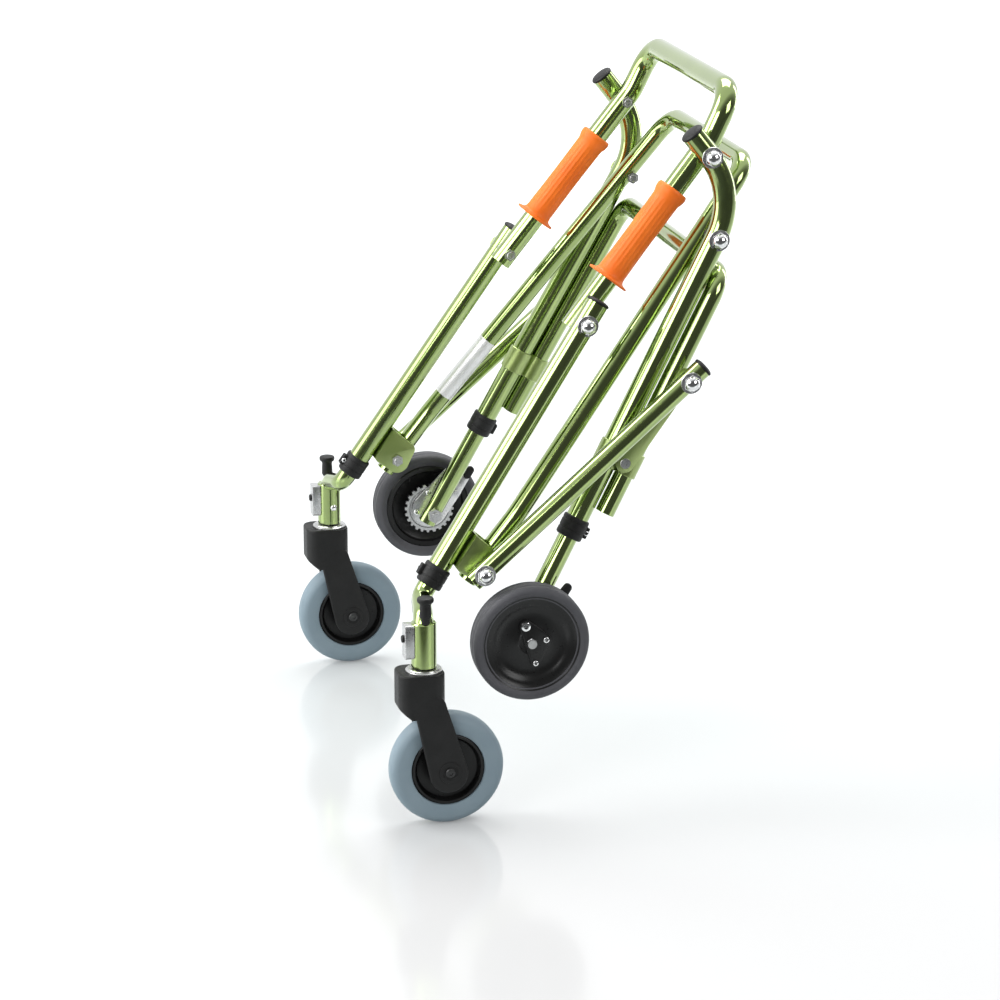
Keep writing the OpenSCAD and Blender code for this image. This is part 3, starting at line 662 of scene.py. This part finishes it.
corner = Vector((LEG_PIVOT[0] + RAIL_TAIL[0], CORNER_Y, LEG_PIVOT[1] + RAIL_TAIL[1]))
front, knee = on_rail(-RAIL_OVER), on_rail(RAIL_LEN + RAIL_OVER)
p = Piece("top_rail_tube", "top_rail", ["top_rail"], ["lime_tube"])
line = [front, knee, corner, flip(corner), flip(knee), flip(front)]
p.tube(line, [60, 32, 32, 60], TUBE_R, TUBE_WALL, n=48)
p.make()

GRIP_START, GRIP_LEN, GRIP_R, GUARD_R = 53.0, 122.0, 16.0, 24.5


def grip_ribs(angle, height, radius):
    """Shallow lengthwise flutes along the hand's part of the grip."""
    if 14 < height < GRIP_LEN - 16 and radius > 14:
        ease = min(1, (height - 14) / 6, (GRIP_LEN - 16 - height) / 6)
        return -0.35 * ease * (0.5 - 0.5 * math.cos(20 * angle))
    return 0.0


for name, side in SIDES.items():
    p = Piece(f"hand_grip_{name}", "top_rail", [f"grip_{name}"], ["orange_grip"])
    r = GRIP_R
    profile = [(TUBE_R, 0), (GUARD_R - 1.2, 0), (GUARD_R - 0.3, 0.4), (GUARD_R, 1.2), (GUARD_R - 0.3, 2.1),
               (GUARD_R - 1.4, 2.6), (r + 4, 3.2), (r + 1.6, 4.4), (r + 0.5, 6.5), (r, 9.5)]
    profile += [(r - 0.4 * math.sin(math.pi * k / 12), 14 + (GRIP_LEN - 32) * k / 12) for k in range(13)]
    profile += [(r + rise, GRIP_LEN - back_off) for rise, back_off in (
        (0, 15), (0.7, 12), (1.8, 9), (2.3, 6), (2.3, 3), (1.6, 0.8), (0.4, 0))]
    profile.append((TUBE_R, GRIP_LEN))
    d = side_of(RAIL_DIR, side)
    p.lathe(side_of(on_rail(GRIP_START), side), d, profile, n=160, mod=grip_ribs)
    p.make(50)

p = Piece("leg_pivot_nuts", "top_rail", ["leg_pivot_bolts"], ["chrome"])
for side in SIDES.values():
    dome_nut(p, *LEG_PIVOT, REAR_Y + TUBE_R + 0.1, side)
    lock_nut(p, *LEG_PIVOT, RAIL_REAR_Y - TUBE_R, side)
    p.use("silver")
    o = (LEG_PIVOT[0], LEG_SPACER_Y * side, LEG_PIVOT[1])
    p.lathe(o, (0, side, 0), [(4, 0), (9, 0), (9, 3.2), (4, 3.2)], n=40)
p.make()

# ---------- rear frame ----------

leg_knee = on_rear(-ARC_T)
leg_top = Vector((LEG_PIVOT[0], leg_knee.y, LEG_PIVOT[1])) + REAR_OVER * REAR_TOP_DIR
for name, side in SIDES.items():
    p = Piece(f"rear_leg_tube_{name}", "rear_frame", [f"rear_leg_{name}"], ["lime_tube"])
    pts = [on_rear(COLLAR_S + POCKET), leg_knee, leg_top]
    p.tube([side_of(q, side) for q in pts], [ARC_R], TUBE_R, TUBE_WALL)
    p.make()

p = Piece("rear_leg_caps", "rear_frame", ["rear_leg_plugs"], ["black_plastic"])
for side in SIDES.values():
    plug(p, side_of(leg_top, side), REAR_TOP_DIR, TUBE_R, TUBE_WALL)
p.make()

OUT = Vector((0, 3, 0))
loop_end = on_rear(REAR_LOOP_END_S, LOOP_BEHIND) + OUT
loop_top = on_rear(REAR_LOOP_TOP_S, LOOP_BEHIND - 0.6) + OUT
p = Piece("rear_loop_tube", "rear_frame", ["rear_loop"], ["lime_tube"])
p.tube([loop_end, loop_top, flip(loop_top), flip(loop_end)], [30, 30], BRACE_R, BRACE_WALL, n=44)
p.make()

p = Piece("link_saddles", "rear_frame", ["link_brackets"], ["lime_plate"])
for side in SIDES.values():
    d = side_of(REAR_DIR, side)
    h = SADDLE_LEN / 2
    p.use("lime_plate")
    for c, r in ((on_rear(LINK_S), TUBE_R), (on_rear(LINK_S, LOOP_BEHIND) + OUT, BRACE_R)):
        p.lathe(side_of(c, side), d, [
            (r, -h), (r + 1.4, -h), (r + 2, 0.6 - h), (r + 2, h - 0.6), (r + 1.4, h), (r, h)
        ], n=48)
    mid = (on_rear(LINK_S) + on_rear(LINK_S, LOOP_BEHIND) + OUT) / 2
    x = side_of((on_rear(LINK_S, LOOP_BEHIND) - on_rear(LINK_S)).normalized(), side)
    rounded_block(p, side_of(mid, side), (x, d.cross(x), d), (16, 11, SADDLE_LEN - 2), 1.0)
    screw_head(p, side_of(mid, side) + Vector((0, 5.2 * side, 0)) + d * 7, (0, side, 0), 3.6, 2.4)
p.make()

p = Piece("rear_clamp_collars", "rear_frame", ["rear_collars"], ["black_plastic"])
for side in SIDES.values():
    clamp_collar(p, on_rear(COLLAR_S), REAR_DIR, side, 1)
p.make()

p = Piece("loop_pivot_nuts", "rear_frame", ["loop_pivot_bolts"], ["chrome"])
for side in SIDES.values():
    dome_nut(p, *LOOP_PIVOT, on_rear(0).y + TUBE_R - 0.4, side)
    p.use("silver")
    p.lathe((LOOP_PIVOT[0], (LOOP_CROSS_Y + BRACE_R + 2.2) * side, LOOP_PIVOT[1]), (0, side, 0), [
        (0, 0), (3.6, 0), (4, 0.4), (4, 5.2), (8.5, 5.6), (8.5, 7.0), (0, 7.4)], n=40, closed=False)
p.make()

# ---------- diagonal loop ----------

foot, kink = on_foot(-FOOT_OVER), on_foot(LOOP_KINK)
p = Piece("diagonal_loop_tube", "diagonal_loop", ["diagonal_loop"], ["lime_tube"])
line = [foot, kink, LOOP_CORNER, flip(LOOP_CORNER), flip(kink), flip(foot)]
p.tube(line, [80, 34, 34, 80], BRACE_R, BRACE_WALL, n=44)
p.make()

p = Piece("loop_inner_nuts", "diagonal_loop", ["diagonal_loop_nuts"], ["silver"])
for side in SIDES.values():
    lock_nut(p, *LOOP_PIVOT, LOOP_CROSS_Y - BRACE_R - 1.3, side)
    p.use("silver")
    p.lathe((LOOP_PIVOT[0], (LOOP_CROSS_Y + BRACE_R - 0.6) * side, LOOP_PIVOT[1]), (0, side, 0), [
        (0, 0), (8, 0), (8, 1.4), (4, 1.6), (3.6, 2.1), (0, 2.1)], n=40, closed=False)
p.make()

p = Piece("blank_foil_label", "diagonal_loop", ["blank_label"], ["label"])
start = on_foot(LOOP_KINK) + LABEL_START * LOOP_SIDE
p.lathe(start, LOOP_SIDE, [
    (BRACE_R, 0), (LABEL_R - 0.02, 0), (LABEL_R, 0.3),
    (LABEL_R, LABEL_LEN - 0.3), (LABEL_R - 0.02, LABEL_LEN), (BRACE_R, LABEL_LEN),
], n=64)
p.make()

# ---------- stretchers and links ----------

for name, side in SIDES.items():
    a = Vector((LOW_PIVOT[0], STRETCH_FRONT_Y, LOW_PIVOT[1]))
    b = Vector((ELBOW[0], STRETCH_REAR_Y, ELBOW[1]))
    d = unit(b - a)
    p = Piece(f"stretcher_tube_{name}", f"stretcher_{name}", [f"stretcher_{name}"], ["lime_tube"])
    front_end, rear_end = side_of(a - STRETCH_FRONT_OVER * d, side), side_of(b + STRETCH_REAR_OVER * d, side)
    p.tube([front_end, rear_end], [], BRACE_R, BRACE_WALL)
    plug(p, rear_end, side_of(d, side), BRACE_R, BRACE_WALL)
    p.make()
    p = Piece(f"elbow_nut_{name}", f"stretcher_{name}", [f"elbow_bolt_{name}"], ["chrome"])
    dome_nut(p, *ELBOW, STRETCH_REAR_Y + BRACE_R - 0.4, side)
    p.use("silver")
    p.lathe((ELBOW[0], ELBOW_WASHER_Y * side, ELBOW[1]), (0, side, 0), [
        (0, 0), (6.2, 0), (7, 0.5), (7, 1.6), (4, 1.7), (4, 12), (0, 12)], n=40, closed=False)
    p.make()
    p = Piece(f"folding_link_{name}", f"rear_link_{name}", [f"rear_link_{name}"], ["lime_plate"])
    link_out = LINK_IN + LINK_T
    bar = hull([(ELBOW[0], ELBOW[1], 10.5), (LINK_PIN.x, LINK_PIN.z, 10.5)])
    p.plate(bar, LINK_IN * side, link_out * side, 0.8)
    p.use("silver")
    o = (LINK_PIN.x, link_out * side, LINK_PIN.z)
    p.lathe(o, (0, side, 0), [(0, 0), (6, 0), (5.6, 0.6), (0, 0.7)], n=40, closed=False)
    p.make()

# ---------- front extensions, locks and casters ----------

for name, side in SIDES.items():
    body = f"front_extension_{name}"
    p = Piece(f"caster_stem_tube_{name}", body, [body], ["lime_tube"])
    pts = [on_leg(STEM_TOP), on_leg(STEM_KNEE)]
    pts += [Vector((SWIVEL_X, CASTER_Y, z)) for z in (SLEEVE_HIGH + 2, SLEEVE_LOW + 20)]
    p.tube([side_of(q, side) for q in pts], [16, 18], INNER_R, INNER_WALL)
    o = (SWIVEL_X, CASTER_Y * side, 0)
    p.lathe(o, (0, 0, 1), [
        (6.1, SLEEVE_LOW), (SLEEVE_R - 0.8, SLEEVE_LOW), (SLEEVE_R, SLEEVE_LOW + 0.8),
        (SLEEVE_R, SLEEVE_HIGH - 1.2), (SLEEVE_R - 1.2, SLEEVE_HIGH), (8.4, SLEEVE_HIGH),
        (6.1, SLEEVE_HIGH - 4)], n=64)
    p.use("chrome")
    p.lathe((SWIVEL_X + 3, (CASTER_Y - SLEEVE_R + 0.6) * side, 203), (0.2, -side, 0), [
        (0, 0), (4.0, 0), (4.0, 0.8), (3.2, 1.9), (1.8, 2.4), (0, 2.5)], n=32, closed=False)
    p.make()

    p = Piece(f"swivel_lock_clip_{name}", body, [f"lock_clip_{name}"], ["silver"])
    x0 = SWIVEL_X - SLEEVE_R
    axes = (Vector((1, 0, 0)), Vector((0, 1, 0)), Vector((0, 0, 1)))
    clip_z = 211.5
    rounded_block(p, (x0 - 7.2, CASTER_Y * side, clip_z), axes, (1.8, 17, 38), 0.7)
    for z in (clip_z - 17.9, clip_z + 17.9):
        rounded_block(p, (x0 - 3.0, CASTER_Y * side, z), axes, (9.6, 17, 1.8), 0.7)
    for y in (-7.9, 7.9):
        rounded_block(p, (x0 - 2.6, (CASTER_Y + y) * side, clip_z), axes, (9.6, 1.4, 35), 0.5)
    p.use("black_plastic")
    screw = [(0, 0), (4.2, 0), (4.2, 1.6), (3.4, 2.6), (0, 2.8)]
    p.lathe((x0 - 8.1, CASTER_Y * side, clip_z + 2.5), (-1, 0, 0), screw, n=32, closed=False)
    p.make()

    body = f"lock_knob_{name}"
    p = Piece(f"swivel_lock_knob_{name}", body, [body], ["black_plastic"])
    o = (SWIVEL_X, (CASTER_Y + 10) * side, 0)
    z = SLEEVE_HIGH + 0.4
    p.lathe(o, (0, 0, 1), [(r, z + h) for r, h in (
        (0, 0), (4.2, 0), (4.6, 1), (4.8, 6), (6.2, 7.5), (6.6, 9), (6.3, 18), (6.0, 21), (6.6, 23.5),
        (8.6, 25), (9.2, 26.4), (9.2, 28.6), (8.4, 30), (6.0, 30.8), (0, 31))], n=48, closed=False)
    p.use("silver")
    p.lathe(o, (0, 0, 1), [(0, 181.6), (2.2, 181.6), (2.5, 182), (2.5, z), (0, z)], n=24, closed=False)
    p.make()


FORK_IN, FORK_OUT = 17.0, 23.0
FORK_CORNER = 13.8
ARM = hull([(-1, CASTER_R - 2, 21.5), (-27, 133, 11), (-15, 141, 11)])
UNDERSIDE = ((-60, 142), (-39, 124), (-30, 127), (-18, 131), (-3, 133.5), (5, 134))


def shoulder(radius, half, r, start):
    """The rounded shoulder of a tyre, from its flank to its tread."""
    points = []
    for t in range(start, 90, 10):
        along, across = polar(r, t)
        points.append((radius - r + across, half - r + along))
    return points


def underside(x):
    """Height of the housing's underside at x."""
    for (x0, z0), (x1, z1) in zip(UNDERSIDE, UNDERSIDE[1:]):
        if x <= x1:
            return z0 + (z1 - z0) * (x - x0) / (x1 - x0)
    return UNDERSIDE[-1][1]


def fork_housing(piece, side):
    """A housing with rounded corners and a raised rim on top, cut back below its nose."""
    front, back, out = SWIVEL_X - 17, SWIVEL_X + 7, FORK_OUT - FORK_CORNER - 0.2
    corners = ((back, out, 0), (front, out, 90), (front, -out, 180), (back, -out, 270))

    def ring(inset, height):
        points = []
        for cx, cy, start in corners:
            for k in range(13):
                dx, dy = polar(FORK_CORNER - inset, start + 90 * k / 12)
                points.append((cx + dx, cy + dy, height(cx + dx)))
        return points
    top = ((9, 0.9), (3.4, 0.9), (2.8, 0), (1.0, 0), (0.3, 0.3), (0, 1.2), (0, 12))
    rings = [ring(inset, lambda x, down=drop: FORK_TOP - down) for inset, drop in top]
    for inset, rise in ((0, 2.4), (0.5, 0.9), (1.6, 0.1), (3.0, 0.0)):
        rings.append(ring(inset, lambda x, up=rise: underside(x) + up))
    loops = [piece.ring([(x, (CASTER_Y + y) * side, z) for x, y, z in r]) for r in rings]
    piece.strip(loops)
    piece.face(list(reversed(loops[0])))
    piece.face(loops[-1])


for name, side in SIDES.items():
    body = f"caster_fork_{name}"
    p = Piece(f"moulded_fork_{name}", body, [body], ["black_plastic"])
    fork_housing(p, side)
    for k in (-1, 1):
        y0, y1 = CASTER_Y + k * FORK_IN, CASTER_Y + k * FORK_OUT
        p.plate(ARM, y0 * side, y1 * side, 1.8, 3)
    p.fuse()
    for k in (-1, 1):
        p.lathe((0, (CASTER_Y + k * (FORK_OUT - 0.4)) * side, CASTER_R), (0, k * side, 0), [
            (0, 0), (12.5, 0), (12.0, 1.1), (8.4, 1.3), (7.8, 0.3), (0, 0.3)], n=48, closed=False)
    p.make(60)

    p = Piece(f"swivel_bearing_{name}", body, [f"caster_stem_{name}"], ["silver"])
    o = (SWIVEL_X, CASTER_Y * side, 0)
    p.lathe(o, (0, 0, 1), [(r, FORK_TOP + h) for r, h in (
        (0, -33), (6, -33), (6, -1.2), (19.2, -1.2), (20.2, -0.6), (20.2, 0.8), (19.4, 1.6), (17.8, 1.8),
        (17.4, 2.9), (6, 3), (6, 43), (5, 44), (0, 44))], n=64, closed=False)
    p.make()

    p = Piece(f"caster_axle_screws_{name}", body, [f"caster_axle_{name}"], ["dark_steel"], slot="silver")
    for k in (-1, 1):
        y = CASTER_Y + k * FORK_OUT
        p.lathe((0, y * side, CASTER_R), (0, k * side, 0), [
            (0, -0.6), (5.4, -0.6), (5.4, 1.2), (4.6, 2.0), (2.6, 2.2), (2.3, 0.9), (0, 0.9),
        ], n=32, closed=False)
    p.lathe((0, (CASTER_Y - FORK_OUT) * side, CASTER_R), (0, side, 0), [
        (0, 0), (4, 0), (4, 2 * FORK_OUT), (0, 2 * FORK_OUT)], n=32, closed=False)
    p.make()

    body = f"caster_wheel_{name}"
    centre = (0, CASTER_Y * side, CASTER_R)
    p = Piece(f"caster_wheel_hub_{name}", body, [f"caster_hub_{name}"], ["black_hub"])
    half = CASTER_W / 2
    face = [(11, half + 2.2), (11.6, half + 1.6), (12.4, 6.4), (14, 5), (30, 4.4), (33.5, 5.2), (35.4, 8),
            (36, half - 3.4), (37, half - 2.2), (39.4, half - 2.0), (CASTER_RIM + 0.2, half - 3)]
    profile = [(4.06, -half - 2.2)] + [(r, -h) for r, h in face] + face[::-1] + [(4.06, half + 2.2)]
    p.lathe(centre, (0, 1, 0), profile, n=96)
    p.make()

    p = Piece(f"caster_wheel_tyre_{name}", body, [f"caster_tyre_{name}"], ["caster_tyre"])
    section = [(CASTER_RIM, half - 3.4), (CASTER_RIM + 0.8, half - 1.2), (CASTER_RIM + 3, half - 0.4),
               (CASTER_RIM + 8, half)]
    section += shoulder(CASTER_R, half, 10.5, 10) + [(CASTER_R, 2.4)]
    profile = section + [(r, -h) for r, h in reversed(section)]
    p.lathe(centre, (0, 1, 0), profile, n=128)
    p.make(50)

# ---------- rear extensions, brakes and wheels ----------

TEETH = 24


def tooth(angle, height, radius):
    """How far the drum's rim stands out at an angle, to give it teeth."""
    if radius > 27:
        phase = (angle * TEETH / (2 * math.pi)) % 1
        return 2.6 if phase < 0.42 else 0.0
    return 0.0


for name, side in SIDES.items():
    body = f"rear_extension_{name}"
    p = Piece(f"rear_inner_tube_{name}", body, [body], ["lime_tube"])
    ends = [on_rear(AXLE_S + 14), on_rear(REAR_INNER_TOP_S)]
    p.tube([side_of(q, side) for q in ends], [], INNER_R, INNER_WALL)
    p.make()

    y0 = AXLE.y + INNER_R + 1.3
    pin = on_rear(AXLE_S - 34, 17)
    nose = on_rear(AXLE_S - 48, 2)
    p = Piece(f"brake_plate_{name}", body, [f"ratchet_plate_{name}"], ["silver"])
    outline = hull([(AXLE.x, AXLE.z, 22), (pin.x, pin.z, 9), (nose.x, nose.z, 10)])
    p.plate(outline, y0 * side, (y0 + 3) * side, 0.8)
    stud = [(0, 0), (2.6, 0), (2.95, 0.5), (2.95, 9.5), (0, 9.5)]
    p.lathe((pin.x, (y0 - 9) * side, pin.z), (0, side, 0), stud, n=32, closed=False)
    for s, off in ((-18, -12), (-18, 12), (10, -14)):
        q = on_rear(AXLE_S + s, off)
        screw_head(p, (q.x, (y0 - 0.2) * side, q.z), (0, -side, 0), 3.4, 2.2)
    p.make()

    tip = on_rear(AXLE_S - 66, 21)
    p = Piece(f"brake_lever_{name}", f"ratchet_lever_{name}", [f"ratchet_lever_{name}"], ["silver"])
    p.plate(hull([(pin.x, pin.z, 6.5), (tip.x, tip.z, 4)]), (y0 - 6) * side, (y0 - 1) * side, 0.9)
    p.use("black_plastic")
    grip = tip + (pin - tip) * 0.22
    outline = hull([(tip.x, tip.z, 4.8), (grip.x, grip.z, 5.2)])
    p.plate(outline, (y0 - 6.4) * side, (y0 - 0.8) * side, 1.4, 3)
    p.make()

    p = Piece(f"rear_axle_bolt_{name}", body, [f"rear_axle_{name}"], ["silver"])
    inner = AXLE.y - INNER_R - 8
    p.prism((AXLE.x, inner * side, AXLE.z), (0, side, 0), 6, 9, 7, 0.9)
    reach = WHEEL_Y + WHEEL_W / 2 - 1 - inner
    bolt = [(0, -2), (4.6, -2), (5, -1.4), (5, reach), (0, reach)]
    p.lathe((AXLE.x, inner * side, AXLE.z), (0, side, 0), bolt, n=40, closed=False)
    p.use("chrome")
    p.prism((AXLE.x, (WHEEL_Y + 6.6) * side, AXLE.z), (0, side, 0), 6, 6.2, 5.2, 1.0)
    p.make()

    body = f"rear_wheel_{name}"
    centre = (AXLE.x, WHEEL_Y * side, AXLE.z)
    half = WHEEL_W / 2
    p = Piece(f"rear_wheel_disc_{name}", body, [f"rear_hub_{name}"], ["wheel_disc"], slot="black_hub")
    outer_face = [(11, 5), (13.5, 5.4), (15, 4.2), (32, 3.4), (37.5, 3.8), (41.0, 5.6), (43.2, 7.4),
                  (46, 8.2), (49.5, 8.9), (52.4, 11.6), (54.0, 12.4), (54.8, 11.8)]
    inner_face = [(14, half + 1.5), (14.6, 9), (17, 7), (42, 7.5), (44, 9), (45, half - 3),
                  (WHEEL_RIM, half - 2.4), (52, half - 4)]
    profile = [(5.06, -half - 1.5)] + [(r, -h) for r, h in inner_face] + outer_face[::-1] + [(5.06, 5)]
    p.lathe(centre, (0, side, 0), profile, n=128)
    p.plate([(AXLE.x + x, AXLE.z + z) for x, z in hull([(-6, 19, 7), (17, 2, 6), (5, -24, 5)])],
            (WHEEL_Y + 4.2) * side, (WHEEL_Y + 7.2) * side, 1.0, 2)
    for x, z, r in ((-6, 19, 5.4), (17, 2, 3.6), (5, -24, 3.4)):
        q = Vector((AXLE.x + x, (WHEEL_Y + 7.0) * side, AXLE.z + z))
        screw_head(p, q, (0, side, 0), r, 2.4)
    p.make()

    p = Piece(f"rear_wheel_tyre_{name}", body, [f"rear_tyre_{name}"], ["rear_tyre"])
    section = [(51, half - 4), (54.4, half - 2.6), (55.6, half - 1.2), (57, half - 0.6)]
    section += shoulder(WHEEL_R, half, 7, 0)
    section += [(WHEEL_R, 6.2), (WHEEL_R - 0.5, 5.6), (WHEEL_R - 0.5, 4.8), (WHEEL_R, 4.2)]
    profile = section + [(r, -h) for r, h in reversed(section)]
    p.lathe(centre, (0, 1, 0), profile, n=128)
    p.make(50)

    p = Piece(f"brake_drum_{name}", body, [f"ratchet_drum_{name}"], ["silver"])
    d0 = y0 + 4
    p.lathe((AXLE.x, d0 * side, AXLE.z), (0, side, 0), [
        (5.06, 0), (12, 0), (12.6, 0.8), (24, 0.8), (25, 0), (28, 0), (28, 4.6), (5.06, 4.6),
    ], n=240, mod=tooth)
    p.make(30)

# ---------- stage, light and camera ----------

YAW, PITCH = math.radians(13.44), math.radians(16.70)
CAMERA, LENS = (-777, -3780.5, 1444.9), 126.0
FLOOR = 14.0

floor_mat = Nodes("floor")
floor_place = floor_mat.add("ShaderNodeSeparateXYZ")
floor_mat.link(floor_mat.coord, "Object", floor_place, "Vector")
floor_span = floor_mat.add("ShaderNodeMapRange")
floor_span.inputs["From Min"].default_value = -1.0
floor_span.inputs["From Max"].default_value = 5.0
floor_mat.link(floor_place, "Y", floor_span, "Value")
# Painted light: the floor's colour is dark on the camera's side, a painted dark room that only reflections
# see, and painted paler further back.
floor_painted_tone = floor_mat.ramp(floor_span, "Result", [
    (0.0, (0.07, 0.075, 0.075)), (0.012, (0.07, 0.075, 0.075)), (0.034, (0.40, 0.42, 0.42)),
    (0.17, (0.43, 0.45, 0.452)), (0.42, (0.62, 0.64, 0.64)), (0.75, (0.95, 0.96, 0.96))])
# Painted light: the floor glows at 0.17 outside its dim part, which lifts the shadows cast on it.
floor_painted_glow = floor_mat.ramp(floor_span, "Result", [(0.012, grey(0)), (0.034, grey(0.17))])
floor_reach = floor_mat.add("ShaderNodeVectorMath", operation="LENGTH")
floor_mat.link(floor_mat.coord, "Object", floor_reach, 0)
floor_far = floor_mat.add("ShaderNodeMapRange")
floor_far.inputs["From Max"].default_value = FLOOR
floor_mat.link(floor_reach, "Value", floor_far, "Value")
# Painted light: seen straight on, the floor glows paler with distance from the frame, up to 0.85.
painted_far_glow = floor_mat.ramp(floor_far, "Result", [(0.10, grey(0.17)), (0.30, grey(0.85))])
# Seen straight on, the floor is pale all over, and it is painted paler and glowing far off: painted light.
# Its dim part, in front of the frame, shows in reflections only, as a painted dark reflection of a room. A
# Mix node of colours takes its factor at input 0 and its colours at 6 and 7, and gives output 2.
floor_seen = floor_mat.add("ShaderNodeLightPath")
for ramp, socket in ((floor_painted_tone, "Base Color"), (floor_painted_glow, "Emission Color")):
    mix = floor_mat.add("ShaderNodeMix", data_type="RGBA", blend_type="LIGHTEN")
    floor_mat.link(floor_seen, "Is Camera Ray", mix, 0)
    floor_mat.link(ramp, "Color", mix, 6)
    if ramp is floor_painted_glow:
        floor_mat.link(painted_far_glow, "Color", mix, 7)
    else:
        mix.inputs[7].default_value = (*grey(0.43), 1)
    floor_mat.link(mix, 2, floor_mat.bsdf, socket)
floor_mat.set(Emission_Strength=1.0, Roughness=0.13, Specular_IOR_Level=0.5)
mesh = bpy.data.meshes.new("floor")
edges = [(x * FLOOR, y * FLOOR, 0) for x, y in ((-1, -1), (1, -1), (1, 1), (-1, 1))]
mesh.from_pydata(edges, [], [(0, 1, 2, 3)])
mesh.materials.append(floor_mat.mat)
floor = bpy.data.objects.new("floor", mesh)
floor.location.z = -0.0005
floor.rotation_euler.z = -YAW
bpy.context.scene.collection.objects.link(floor)


def area_light(name, place, aim, width, height, power):
    data = bpy.data.lights.new(name, "AREA")
    data.shape, data.size, data.size_y = "RECTANGLE", width, height
    data.energy = power
    o = bpy.data.objects.new(name, data)
    o.location = place
    o.rotation_mode = "QUATERNION"
    o.rotation_quaternion = (Vector(aim) - Vector(place)).to_track_quat("-Z", "Y")
    bpy.context.scene.collection.objects.link(o)


middle = (0, 0, 0.38)
area_light("key", (-2.4, 0.6, 2.6), middle, 1.2, 1.6, 45)
area_light("top", (0.6, 1.4, 3.4), middle, 2.6, 1.6, 80)
area_light("left", (-2.7, 0.1, 1.2), middle, 1.5, 2.4, 36)
area_light("right", (2.5, 1.0, 1.2), middle, 0.4, 2.2, 14)
area_light("front_left", (-2.9, -2.7, 2.2), middle, 1.9, 1.5, 58)
area_light("front_right", (2.4, -2.8, 2.0), middle, 1.8, 1.8, 50)


def studio_world():
    """A bright backdrop behind the frame and above it, and a dim room on the camera's side.

    Seen straight on it is pale all round: only reflections and light come from the uneven room.
    """
    world = bpy.data.worlds.new("studio")
    bpy.context.scene.world = world
    world.use_nodes = True
    tree = world.node_tree
    tree.nodes.clear()
    out = tree.nodes.new("ShaderNodeOutputWorld")
    sky = tree.nodes.new("ShaderNodeBackground")
    seen = tree.nodes.new("ShaderNodeBackground")
    seen.inputs["Color"].default_value = (0.97, 0.985, 1.0, 1)
    path = tree.nodes.new("ShaderNodeLightPath")
    mix = tree.nodes.new("ShaderNodeMixShader")
    coord = tree.nodes.new("ShaderNodeTexCoord")
    lean = tree.nodes.new("ShaderNodeVectorMath")
    lean.operation = "DOT_PRODUCT"
    lean.inputs[1].default_value = unit((-0.25, 0.78, 0.58))
    ramp = tree.nodes.new("ShaderNodeValToRGB")
    scale = tree.nodes.new("ShaderNodeMapRange")
    scale.inputs["From Min"].default_value = -1.0
    tree.links.new(coord.outputs["Generated"], lean.inputs[0])
    tree.links.new(lean.outputs["Value"], scale.inputs["Value"])
    tree.links.new(scale.outputs["Result"], ramp.inputs["Fac"])
    tree.links.new(ramp.outputs["Color"], sky.inputs["Color"])
    tree.links.new(path.outputs["Is Camera Ray"], mix.inputs[0])
    tree.links.new(sky.outputs["Background"], mix.inputs[1])
    tree.links.new(seen.outputs["Background"], mix.inputs[2])
    tree.links.new(mix.outputs[0], out.inputs["Surface"])
    stops = ((0.0, 0.10), (0.30, 0.11), (0.42, 0.22), (0.52, 0.5), (0.60, 0.95), (1.0, 1.1))
    elements = ramp.color_ramp.elements
    while len(elements) < len(stops):
        elements.new(0.5)
    for element, (place, tone) in zip(elements, stops):
        element.position = place
        element.color = (tone * 0.985, tone, tone * 1.01, 1)


studio_world()

cam_data = bpy.data.cameras.new("camera")
cam_data.lens, cam_data.sensor_width = LENS, 36.0
cam = bpy.data.objects.new("camera", cam_data)
cam.location = at(*CAMERA)
cam.rotation_euler = (math.pi / 2 - PITCH, 0, -YAW)
bpy.context.scene.collection.objects.link(cam)
bpy.context.scene.camera = cam
bpy.context.scene.view_settings.view_transform = "Standard"
